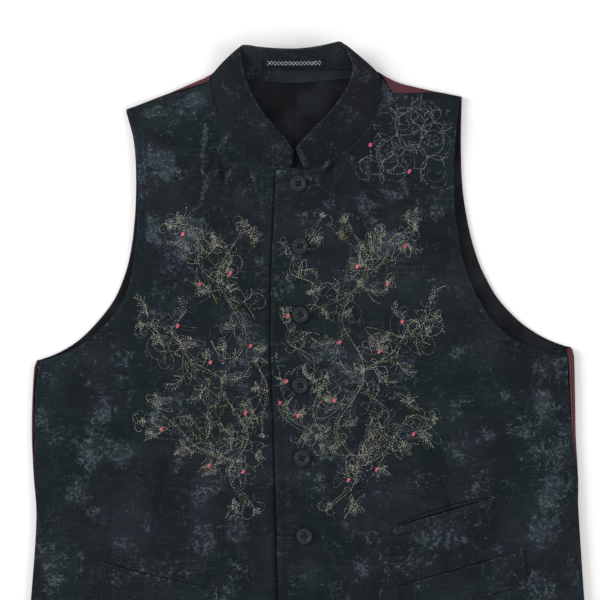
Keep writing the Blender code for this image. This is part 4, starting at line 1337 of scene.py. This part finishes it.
# %% Button form and finish
horn = Finish("dark horn", Roughness=0.45, Specular_IOR_Level=0.1)
grain = horn.noise(3.5, 3, 0.6, (1, 0.35, 1))
scuff = horn.step(horn.noise(1.2, 3, 0.7), 0.52, 0.7)
radius = horn.painted("radius")
# Painted highlights: a lighter ring on the lip of the dished middle and one on the rim, where the raised
# horn catches the light
lip = horn.step(radius, 3.2, 3.8) * horn.step(radius, 5.0, 4.4)
rim = horn.step(radius, 6.0, 6.6) * horn.step(radius, 7.7, 7.3)
body = horn.mix(grain, shade(30, 33, 37), shade(38, 41, 45))
body = horn.mix(lip * 0.8 + rim * 0.5, body, shade(52, 56, 60))
horn.wear("Base Color", horn.mix(scuff * 0.25, body, shade(62, 66, 70)))
horn.wear("Roughness", 0.4 + scuff * 0.3)
horn.relief(scuff * 0.4 + grain * 0.6, 0.05)

PROFILE = [
    (0.0, 0.0), (5.6, 0.0), (6.7, 0.25), (7.35, 0.75), (7.68, 1.3), (7.8, 1.7), (7.72, 2.15),
    (7.45, 2.6), (7.0, 2.9), (6.4, 3.0), (5.8, 2.93), (5.25, 2.7), (4.75, 2.36), (4.3, 2.1),
    (3.7, 1.93), (2.4, 1.86), (0.0, 1.84),
]


def turned(name, profile, sides, finish):
    """A turned solid from its profile, closed at the middle by one point below and one above."""
    turns = np.linspace(0, 2 * math.pi, sides, endpoint=False)
    rings = [np.column_stack([r * towards(turns), np.full(sides, z)]) for r, z in profile[1:-1]]
    points = np.concatenate([[(0, 0, profile[0][1])], *rings, [(0, 0, profile[-1][1])]])
    here, ahead = np.arange(sides), (np.arange(sides) + 1) % sides
    faces = []
    for level in range(len(rings) - 1):
        a = 1 + level * sides
        faces += np.column_stack([a + here, a + ahead, a + sides + ahead, a + sides + here]).tolist()
    top = 1 + (len(rings) - 1) * sides
    faces += np.column_stack([np.zeros(sides, int), 1 + ahead, 1 + here]).tolist()
    faces += np.column_stack([np.full(sides, len(points) - 1), top + here, top + ahead]).tolist()
    return placed(name, smooth_mesh(name, points, faces, finish))


def pierced_button():
    """One button's mesh, with four holes through it."""
    blank = turned("button blank", PROFILE, 64, horn)
    pin_profile = [(0, -2), (HOLE_RADIUS, -2), (HOLE_RADIUS, 5), (0, 5)]
    pins = []
    for x, y in ((1, 1), (1, -1), (-1, 1), (-1, -1)):
        pin = turned("pin", pin_profile, 20, horn)
        pin.location = (x * HOLE_OFFSET * MM, y * HOLE_OFFSET * MM, 0)
        pins.append(pin)
        cut = blank.modifiers.new("hole", "BOOLEAN")
        cut.solver, cut.object = "EXACT", pin
    ready = blank.evaluated_get(bpy.context.evaluated_depsgraph_get())
    mesh = bpy.data.meshes.new_from_object(ready)
    for extra in [blank, *pins]:
        bpy.data.objects.remove(extra)
    return mesh


BUTTON_MESH = pierced_button()
print("a button has", len(BUTTON_MESH.polygons), "faces")

# %% Buttons in place
buttons, button_feet = [], []
for number, place in enumerate(BUTTONS, 1):
    node = f"button_{number}"
    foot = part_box(node)[0][2]
    mesh = BUTTON_MESH.copy()
    points = np.empty(3 * len(mesh.vertices))
    mesh.vertices.foreach_get("co", points)
    points = points.reshape(-1, 3)
    angle = math.radians(place.turn)
    distance = np.hypot(points[:, 0], points[:, 1]) / MM
    turned_x = points[:, 0] * math.cos(angle) - points[:, 1] * math.sin(angle)
    turned_y = points[:, 0] * math.sin(angle) + points[:, 1] * math.cos(angle)
    moved = np.column_stack([turned_x + place.x * MM, turned_y + place.y * MM, points[:, 2] + foot])
    mesh.vertices.foreach_set("co", moved.ravel())
    mesh.set_sharp_from_angle(angle=math.radians(40))
    made = placed(node + "_turned", mesh)
    paint(made, "radius", distance)
    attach(made, "root")
    buttons.append(stand_for(made, node))
    button_feet.append(foot / MM)
print("buttons sewn on:", len(buttons))

# %% [markdown]
# ## Stitches
#
# Every seam, buttonhole and sprig is thread. A stitch is a short round length of thread that comes up
# out of the cloth, arches a little and goes down again. Curves with a bevel would draw smooth
# wires, so each stitch is a small closed tube with tapered ends instead, and all stitches of one
# thread are one mesh.


# %% A mesh of stitches
tones = np.random.default_rng(3)


def sew(name, stitches, thickness, finish, surface, lift=0.35, sides=6):
    """Closed tubes from a list of stitches, each its start and end as x and y in millimetres."""
    ends = np.array(stitches, float).reshape(-1, 2, 2)
    shares = np.array([0.0, 0.22, 0.78, 1.0])
    girth = np.array([0.35, 1.0, 1.0, 0.35]) * thickness / 2
    arch = np.array([-0.25, 0.7, 0.7, -0.25]) * lift
    line = ends[:, None, 0] + (ends[:, None, 1] - ends[:, None, 0]) * shares[None, :, None]
    height = surface(line[:, :, 0], line[:, :, 1]) + arch[None, :] + thickness * 0.3
    along = ends[:, 1] - ends[:, 0]
    along = along / np.maximum(np.linalg.norm(along, axis=1, keepdims=True), 1e-9)
    aside = np.column_stack([-along[:, 1], along[:, 0]])
    turns = np.linspace(0, 2 * math.pi, sides, endpoint=False)
    flat = line[:, :, None, :] + aside[:, None, None, :] * (girth[None, :, None] * np.cos(turns))[..., None]
    up = height[:, :, None] + girth[None, :, None] * np.sin(turns)
    points = np.concatenate([flat, up[..., None]], axis=-1).reshape(-1, 3)
    rings = len(shares)
    ring = np.arange(sides)
    ahead = (ring + 1) % sides
    body = []
    for level in range(rings - 1):
        a = level * sides
        body.append(np.column_stack([a + ring, a + ahead, a + sides + ahead, a + sides + ring]))
    last = (rings - 1) * sides
    cap = [[0, 5, 4, 3], [3, 2, 1, 0]] if sides == 6 else [[3, 2, 1, 0]]
    caps = np.array(cap + [[last + corner for corner in quad[::-1]] for quad in cap])
    one = np.concatenate([*body, caps])
    shift = (np.arange(len(ends)) * rings * sides)[:, None, None]
    faces = (one[None] + shift).reshape(-1, 4)
    made = closed_mesh(name, points, faces, finish)
    paint(made, "tone", np.repeat(tones.uniform(0, 1, len(ends)), rings * sides))
    return made


def walk(path, spacing):
    """Points along a path, evenly spaced."""
    path = np.asarray(path, float)
    steps = np.linalg.norm(np.diff(path, axis=0), axis=1)
    walked = np.concatenate([[0], np.cumsum(steps)])
    count = max(1, int(round(walked[-1] / spacing))) + 1
    places = np.linspace(0, walked[-1], count)
    return np.column_stack([np.interp(places, walked, path[:, axis]) for axis in range(2)])


def running(path, length, gap):
    """Stitches of a length along a path with a gap between."""
    points = walk(path, length + gap)
    share = length / (length + gap)
    return [(a, a + (b - a) * share) for a, b in zip(points[:-1], points[1:])]


def thread(name, light, dark):
    """Spun thread: two shades that twist round each other."""
    made = Finish(name, Roughness=0.75, Specular_IOR_Level=0.2)
    ply = made.noise(0.8, 1, 0.5, (1, 1, 3))
    worn = made.step(made.noise(7, 2), 0.4, 0.65)
    made.wear("Base Color", made.mix(ply * 0.25 + worn * 0.25 + made.painted("tone") * 0.65, light, dark))
    made.wear("Roughness", 0.65 + ply * 0.25)
    made.relief(ply, 0.08)
    return made


def on_right(x, y):
    return front_top(x, y, True)[0]


def on_left(x, y):
    return front_top(x, y, False)[0]


dark_thread = thread("charcoal thread", shade(40, 45, 49), shade(20, 23, 26))
black_thread = thread("black thread", shade(44, 46, 49), shade(5, 6, 7))
pale_thread = thread("pale grey thread", shade(128, 130, 128), shade(58, 62, 64))
print("a seam stitch has", 4 * 6, "points")

# %% [markdown]
# The seams' own stitches are barely paler than the cloth. The darts and the seam above the slit pocket
# are fine dark lines; the near-black thread of that seam also stands in for the shadow line above the
# slit. Each end of a pocket mouth is held by a bar tack of pale thread. Black thread crosses in the
# holes of every button and binds the buttonhole beside it.


# %% Stitches along the edges
SEAM_THREAD = 0.42


def inset_line(outline, distance, keep):
    """A line inside a cut edge at a distance from it, for the part of the edge that is kept."""
    line = walk(outline, 2.0)
    tangent = np.gradient(line, axis=0)
    tangent = tangent / np.maximum(np.linalg.norm(tangent, axis=1, keepdims=True), 1e-9)
    normal = np.column_stack([tangent[:, 1], -tangent[:, 0]])
    middle = outline.mean(axis=0)
    turn = np.sign(((middle - line) * normal).sum())
    inside = line + normal * turn * distance
    return inside[keep(line[:, 0], line[:, 1])]


lap_seam = inset_line(LEFT_OUTLINE, 6.5, lambda x, y: (x < -24) & (y > HEM_Y + 8) & (y < 190))
left_armhole = inset_line(LEFT_OUTLINE, 5.5, lambda x, y: (x > 140) & (y > 30) & (y < 262))
right_armhole = inset_line(RIGHT_OUTLINE, 5.5, lambda x, y: (x < -160) & (y > 26) & (y < 250))
sew("lap_stitching", running(lap_seam, 2.2, 1.0), SEAM_THREAD, dark_thread, on_left)
sew("left_armhole_stitching", running(left_armhole, 2.2, 1.0), SEAM_THREAD, dark_thread, on_left)
sew("right_armhole_stitching", running(right_armhole, 2.2, 1.0), SEAM_THREAD, dark_thread, on_right)
print("points of the lap's seam line:", len(lap_seam))

# %% Buttonholes and the buttons' thread
# The ends of a buttonhole from its button's middle, and how far the thread lies above the button's foot
SLIT_START, SLIT_END = 5.5, 17.5
THREAD_RISE = 1.9
hole_stitches, hole_ends, crossings = [], [], []
for place in BUTTONS:
    for step in np.arange(place.x + SLIT_START, place.x + SLIT_END, 0.72):
        for side in (-1, 1):
            hole_stitches.append(((step, place.y + side * 0.2), (step + 0.2, place.y + side * 2.1)))
    for step in np.linspace(-1.5, 1.5, 5):
        end_x = place.x + SLIT_END
        hole_ends.append(((end_x - 0.1, place.y + step), (end_x + 1.1, place.y + step * 1.2)))
    middle = np.array([place.x, place.y])
    for quarter in (45, 135):
        reach = HOLE_OFFSET * 1.3 * towards(math.radians(place.turn + quarter))
        crossings.append((middle - reach, middle + reach))
button_rows = [round(place.y) for place in BUTTONS[::-1]]
button_wells = [foot + THREAD_RISE for foot in button_feet[::-1]]
sew("button_thread", crossings, 0.7, black_thread, lambda x, y: np.interp(y, button_rows, button_wells), 0.5)
sew("buttonhole_stitching", hole_stitches, 0.6, black_thread, on_left, 0.3)
sew("buttonhole_ends", hole_ends, 0.34, pale_thread, on_left, 0.3)
print("buttonhole stitches:", len(hole_stitches))


# %% Darts, pockets and bar tacks
def bar_tack(x, y, length, turn):
    """Close stitches across the end of a pocket, none of them quite in line."""
    ahead = towards(turn)
    aside = left_of(ahead)
    made = []
    for number, step in enumerate(np.linspace(-length / 2, length / 2, 8)):
        middle = np.array([x, y]) + step * ahead + (0.9, -0.4, 0.2, -1.0)[number % 4] * aside
        made.append((middle - 0.5 * aside, middle + 0.5 * aside))
    return made


def on_welt(lapped):
    return lambda x, y: front_top(x, y, lapped)[0] + WELT_GAP + WELT_WALL - 0.1


dart_left = running(walk([(114.4, -51.7), (154.5, -179.8)], 3.0), 1.7, 0.5)
dart_right = running(walk([(-128.6, -60.6), (-156.3, -170.0)], 3.0), 1.7, 0.5)
sew("left_dart_stitching", dart_left, 0.3, bag_and_shade_black, on_left, 0.1)
sew("right_dart_stitching", dart_right, 0.3, bag_and_shade_black, on_right, 0.1)

jet_shares = np.linspace(0.01, 0.99, 50)
jet_rise = 5.4 * np.clip(np.sin(math.pi * jet_shares), 0, 1) ** 0.6
jet = np.column_stack(welt_place(WELTS[0], jet_shares, -jet_rise))
# Near-black thread of the seam above the slit, which also stands in for the shadow line there
sew("upper_jet_seam", running(jet, 2.8, 0.3), 0.66, bag_and_shade_black, on_left, 0.0)

tacks_left, tacks_right, welt_left, welt_right = [], [], [], []
for welt in WELTS:
    tacks, seams = (tacks_right, welt_right) if welt.start_x < 0 else (tacks_left, welt_left)
    foot = welt_place(welt, np.linspace(0.015, 0.985, 60), welt.depth - 1.6)
    seams += running(np.column_stack(foot), 2.0, 1.0)
    for share in (0.014, 0.986):
        tacks += bar_tack(*welt_place(welt, share, 1.4), 6.4, math.radians(80))
        depth = np.linspace(2.6, welt.depth - 2, 12)
        seams += running(np.column_stack(welt_place(welt, share + 0 * depth, depth)), 2.0, 1.0)
sew("left_bar_tacks", tacks_left, 0.5, pale_thread, on_welt(False))
sew("right_bar_tacks", tacks_right, 0.5, pale_thread, on_welt(True))
sew("left_welt_stitching", welt_left, 0.4, dark_thread, on_welt(False))
sew("right_welt_stitching", welt_right, 0.4, dark_thread, on_welt(True))
print("stitches of the bar tacks:", len(tacks_left) + len(tacks_right))

# %% [markdown]
# ## Embroidered vines
#
# Fine thread drawings cover both sides of the chest. These are climbing vines, the traditional border
# of a waistcoat: a stem of three strands in running stitch, leaves in outline with veins and ribs,
# fronds, whorls, curls, loose scribbles round them, and berries of knotted pink thread. A tall vine
# climbs each side of the opening, a narrow one climbs the lap, and side shoots reach out over the
# chest. Drawing each stitch by hand would take days, so a vine grows from its stem's few points by a
# small seeded rule, and every stitch then lies on the cloth's own folds.


# %% Leaves and curls
def smooth_path(points, spacing=1.0):
    points = [np.array(point, float) for point in points]
    read = stations([points], spacing)
    return np.array([curve_point(points, station) for station in read])


def leaf(at, heading, length, width, bend):
    """Outline and vein of a leaf that leaves a point in a heading."""
    share = np.linspace(0, 1, 14)
    ahead = towards(heading)
    aside = left_of(ahead)
    middle = at + np.outer(share * length, ahead) + np.outer(bend * length * share**2, aside)
    swell = width / 2 * np.sin(math.pi * share**0.8) ** 0.9
    return [middle + np.outer(swell, aside), middle - np.outer(swell, aside), middle[2:-2]]


def tendril(at, heading, size, side):
    """A curl that winds in on itself."""
    turn = np.linspace(0, 1, 26)
    step = size * (1 - 0.82 * turn) / 9
    return at + np.cumsum(towards(heading + side * turn * 5.2) * step[:, None], axis=0)


print("a leaf is", len(leaf(np.zeros(2), 0, 10, 4, 0)), "lines of thread")

# %% Where the vines climb
THREAD_GIRTH = 0.33
Vine = namedtuple("Vine", "points side sprigs leaf")
VINES = [
    Vine([(-52, -134), (-78, -100), (-56, -62), (-84, -14), (-60, 40), (-86, 92), (-62, 142)], 1, 16, 15),
    Vine([(-68, -86), (-104, -76), (-136, -46), (-158, -48)], -1, 8, 15),
    Vine([(-84, -6), (-114, 12), (-138, 44), (-160, 46)], 1, 8, 16),
    Vine([(-78, 84), (-102, 104), (-110, 132), (-132, 142)], -1, 7, 14),
    Vine([(-44, -60), (-40, -20), (-50, 10)], 1, 4, 10),
    Vine([(24, -128), (50, -98), (28, -52), (58, 0), (32, 54), (60, 104), (38, 146)], -1, 16, 15),
    Vine([(46, -92), (78, -78), (100, -44), (122, -46)], 1, 8, 15),
    Vine([(56, 4), (86, 18), (104, 50), (124, 54)], -1, 8, 16),
    Vine([(54, 88), (76, 108), (84, 134), (104, 140)], 1, 7, 14),
    Vine([(14, -70), (8, -36), (18, -6)], -1, 4, 10),
    Vine([(14, 152), (-16, 100), (12, 78), (-20, 34), (10, 6), (-22, -34), (8, -62)], 1, 12, 10),
]
dice = np.random.default_rng(5)
print("vines:", len(VINES))


# %% What a vine bears
def sketched(path, wander):
    """The same path drawn again by a less steady hand."""
    share = np.linspace(0, 1, len(path))[:, None]
    turns = dice.uniform(1, 3) * (1 + len(path) / 40)
    sway = np.sin(share * turns + dice.uniform(0, 6, 2)) * wander
    return path + sway


def tangle(tip, size, grown):
    """A loose scribble of one thread that loops round a place."""
    turn = np.linspace(0, 1, 90)[:, None]
    speeds, phases = dice.uniform(5, 17, (3, 2)), dice.uniform(0, 6.3, (3, 2))
    path = sum(np.sin(turn * speeds[k] + phases[k]) * size * (0.55, 0.4, 0.25)[k] for k in range(3))
    grown["blade"].append(tip + path)


def sprig(tip, heading, size, side, grown):
    """Three leaves with veins and ribs round the end of a stalk."""
    for turn in (0.15, 0.95, -0.75):
        long = size * (1 - 0.25 * abs(turn)) * dice.uniform(0.7, 1.15)
        width, bend = size * dice.uniform(0.28, 0.46), dice.uniform(-0.3, 0.3)
        *edges, vein = leaf(tip, heading + side * turn, long, width, bend)
        grown["leaf"] += edges
        grown["vein"].append(vein)
        for share in (3, 5, 7):
            for edge in edges:
                grown["rib"].append(np.array([vein[share], edge[share + 4]]))


def frond(tip, heading, size, side, grown):
    """A bent spine with thin strokes on both sides that shorten to its end."""
    ahead = towards(heading)
    aside = left_of(ahead) * side
    spine = smooth_path([tip, tip + ahead * size * 0.9 + aside * size * 0.25, tip + ahead * size * 1.5])
    grown["stem"].append(spine)
    for share in np.linspace(0.12, 0.95, 9):
        at = spine[int(share * (len(spine) - 1))]
        for hand in (-1, 1):
            way = towards(heading + hand * dice.uniform(0.7, 1.1))
            reach = size * 0.55 * (1 - 0.6 * share) * dice.uniform(0.8, 1.2)
            bent = at + way * reach * 0.5 + ahead * reach * 0.15
            grown["blade"].append(smooth_path([at, bent, at + way * reach + ahead * reach * 0.35]))


def whorl(tip, heading, size, side, grown):
    """Two curls wound into each other, with short rays round them."""
    grown["curl"].append(tendril(tip, heading, size * 1.5, side))
    grown["curl"].append(tendril(tip, heading + 2.4, size * 1.1, side))
    grown["curl"].append(sketched(tendril(tip, heading + 0.4, size * 1.3, -side), 0.8))
    for ray in range(7):
        way = towards(heading + ray * 0.9 + dice.uniform(-0.2, 0.2))
        grown["blade"].append(np.array([tip + way * size * 0.45, tip + way * size * dice.uniform(0.7, 1.0)]))


print("leaves, fronds and whorls end a stalk")


# %% How a vine grows
def grow(vine):
    """Lists of paths for a vine's stem, leaves and curls, and the places of its berries."""
    stem = smooth_path(vine.points)
    strands = [sketched(stem, wander) for wander in (1.2, 2.2, 2.8)]
    grown = {"stem": strands, "leaf": [], "vein": [], "rib": [], "curl": [], "blade": []}
    for end, ahead in ((stem[0], stem[0] - stem[2]), (stem[-1], stem[-1] - stem[-3])):
        heading = math.atan2(ahead[1], ahead[0])
        for turn in (-0.5, 0.1, 0.6):
            hand = vine.side if turn > 0 else -vine.side
            grown["curl"].append(tendril(end, heading + turn, dice.uniform(9, 16), hand))
        sprig(end, heading, vine.leaf * 0.6, vine.side, grown)
    berries = []
    side = vine.side
    for index in range(vine.sprigs):
        at = int((index + 0.6) / vine.sprigs * (len(stem) - 3))
        way = stem[at + 2] - stem[at]
        heading = math.atan2(way[1], way[0]) + side * dice.uniform(0.7, 1.2)
        reach = dice.uniform(6, 15)
        bent = stem[at] + reach * 0.55 * towards(heading)
        stalk = smooth_path([stem[at], bent, stem[at] + reach * towards(heading + 0.35 * side)])
        grown["stem"].append(stalk)
        motif = (sprig, frond, sprig, whorl, frond)[(index + len(vine.points)) % 5]
        motif(stalk[-1], heading, vine.leaf * dice.uniform(0.65, 1.15), side, grown)
        tangle(stalk[-1] + dice.uniform(-3, 3, 2), vine.leaf * dice.uniform(0.7, 1.1), grown)
        for _ in range(3):
            way = towards(heading + dice.uniform(-2.2, 2.2))
            aside = left_of(way) * dice.uniform(-5, 5)
            reach = dice.uniform(8, 22)
            bent = stalk[-1] + way * reach * 0.5 + aside
            grown["blade"].append(smooth_path([stalk[-1], bent, stalk[-1] + way * reach]))
        start = stalk[len(stalk) // 2]
        grown["curl"].append(tendril(start, heading - side * 0.9, dice.uniform(9, 16), -side))
        if index % 4 == 1:
            berries.append(stalk[-1] + dice.uniform(-4, 4, 2))
        side = -side
    return grown, berries


print("longest stem has", max(len(vine.points) for vine in VINES), "given points")


# %% All vines, stitch by stitch
def clear_of_buttons(place, reach):
    return all(math.hypot(place[0] - b.x, place[1] - b.y) > reach for b in BUTTONS)


def keep_on(stitches, x_low, x_high):
    """The stitches of one front: none hangs over the lap edge or sits under a button."""
    kept = []
    for start, end in stitches:
        inside = x_low < min(start[0], end[0]) and max(start[0], end[0]) < x_high
        if inside and clear_of_buttons((start + end) / 2, BUTTON_COVER):
            kept.append((start, end))
    return kept


PALETTE = {
    "stem": ("olive", "cream", "sage"),
    "leaf": ("cream", "cream", "olive", "cream", "sage", "cream", "olive"),
    "vein": ("sage", "lilac", "cream"),
    "rib": ("olive", "sage", "cream", "lilac"),
    "curl": ("cream", "sage", "cream"),
    "blade": ("cream", "lilac", "sage", "cream", "olive"),
}
# No embroidery lies this close to the middle of a button
BUTTON_COVER = 9.2
drawn = {"olive": [], "cream": [], "sage": [], "lilac": []}
berry_places = []
for vine in VINES:
    grown, berries = grow(vine)
    for part, colours in PALETTE.items():
        for number, path in enumerate(grown[part]):
            drawn[colours[number % len(colours)]] += running(path, 1.9, 0.8)
    berry_places += berries
print("vine stitches:", sum(len(stitches) for stitches in drawn.values()), "berries:", len(berry_places))

# %% The vines' thread
# Where the drawings of either front stop short of the lap's edge
RIGHT_VINES_END, LEFT_VINES_START = -37.5, -31.0
THREADS = {
    "olive": thread("olive thread", shade(164, 160, 104), shade(56, 59, 42)),
    "cream": thread("cream thread", shade(216, 214, 200), shade(66, 70, 68)),
    "sage": thread("sage thread", shade(150, 168, 158), shade(58, 70, 68)),
    "lilac": thread("lilac thread", shade(144, 136, 166), shade(66, 62, 82)),
}
for colour, stitches in drawn.items():
    right = keep_on(stitches, -300, RIGHT_VINES_END)
    left = keep_on(stitches, LEFT_VINES_START, 300)
    sew(f"{colour}_vine_right", right, THREAD_GIRTH, THREADS[colour], on_right, sides=4)
    sew(f"{colour}_vine_left", left, THREAD_GIRTH, THREADS[colour], on_left, sides=4)


def knots(name, places, radius, finish, surface):
    """French knots: three loops of thread wound into a small mound."""
    stitches = []
    for place in places:
        for step in range(7):
            turn = 0.4 + step * math.pi * 0.62
            middle = place + 0.45 * radius * towards(turn * 1.7)
            reach = radius * 0.8 * towards(turn)
            stitches.append((middle - reach, middle + reach))
    return sew(name, stitches, 1.25, finish, surface, 0.9)


BERRY_RADIUS, BERRY_CLEAR = 1.9, 11
LOOSE_BERRIES = [(100, 196), (62, 222)]
pink = thread("pink thread", shade(214, 116, 130), shade(158, 62, 82))
berries_right = [place for place in berry_places if place[0] < -40]
berries_left = [place for place in berry_places if place[0] > -27 and clear_of_buttons(place, BERRY_CLEAR)]
knots("berries_right", berries_right, BERRY_RADIUS, pink, on_right)
knots("berries_left", berries_left + LOOSE_BERRIES, BERRY_RADIUS, pink, on_left)
print("berries sewn:", len(berries_right) + len(berries_left) + len(LOOSE_BERRIES))

# %% [markdown]
# A lighter spray in grey-white thread sits on the left shoulder: long grasses that fan out of five
# points and end in wide curls, with a few narrow leaves.

# %% The shoulder spray
Spray = namedtuple("Spray", "x y lean scale")
SPRAYS = [
    Spray(88, 232, 0.3, 1), Spray(118, 210, 1.1, 0.9), Spray(74, 206, -0.4, 0.8),
    Spray(124, 244, 2.6, 0.7), Spray(102, 258, 1.9, 0.7),
]
# Each grass of a spray: its direction in degrees and its length
GRASSES = [(0, 34), (47, 24), (100, 28), (151, 20), (205, 30), (262, 22), (310, 26)]
spray = []
for x, y, lean, scale in SPRAYS:
    start = np.array([x, y], float)
    for number, (degrees, length) in enumerate(GRASSES):
        heading = math.radians(degrees) + lean + dice.uniform(-0.2, 0.2)
        hand = 1 if number % 2 else -1
        ahead = towards(heading)
        aside = left_of(ahead) * hand
        reach = scale * length
        blade = smooth_path([start, start + ahead * reach * 0.5 + aside * 7, start + ahead * reach])
        spray += running(blade, 2.6, 0.5) + running(sketched(blade, 1.3), 2.6, 0.9)
        spray += running(tendril(blade[-1], heading - 0.9 * hand, 26 * scale, -hand), 2.4, 0.5)
        if hand > 0:
            for edge in leaf(blade[len(blade) // 2], heading + 0.5, 14 * scale, 4.0, 0.3)[:2]:
                spray += running(edge, 2.3, 0.6)
middles = np.array([(a + b) / 2 for a, b in spray])
away = edge_distance(middles[:, 0], middles[:, 1], LEFT_OUTLINE)[0]
spray = [stitch for stitch, (x, y), far in zip(spray, middles, away) if far > 2.4 and x < 141 and y < 271]
grey_thread = thread("grey-white thread", shade(160, 170, 172), shade(44, 52, 56))
sew("shoulder_spray", spray, 0.3, grey_thread, on_left, sides=4)
print("spray stitches:", len(spray))

# %% [markdown]
# ## Cloth as sheets
#
# A sheet of cloth is described by its piece, its flat size as cut, what it rests on and its area,
# since the cuts are not rectangles. The back is as large as both halves of its lining, with what
# rolls up round the sides and shoulders.


Sheet = namedtuple("Sheet", "piece flat rests_on area")
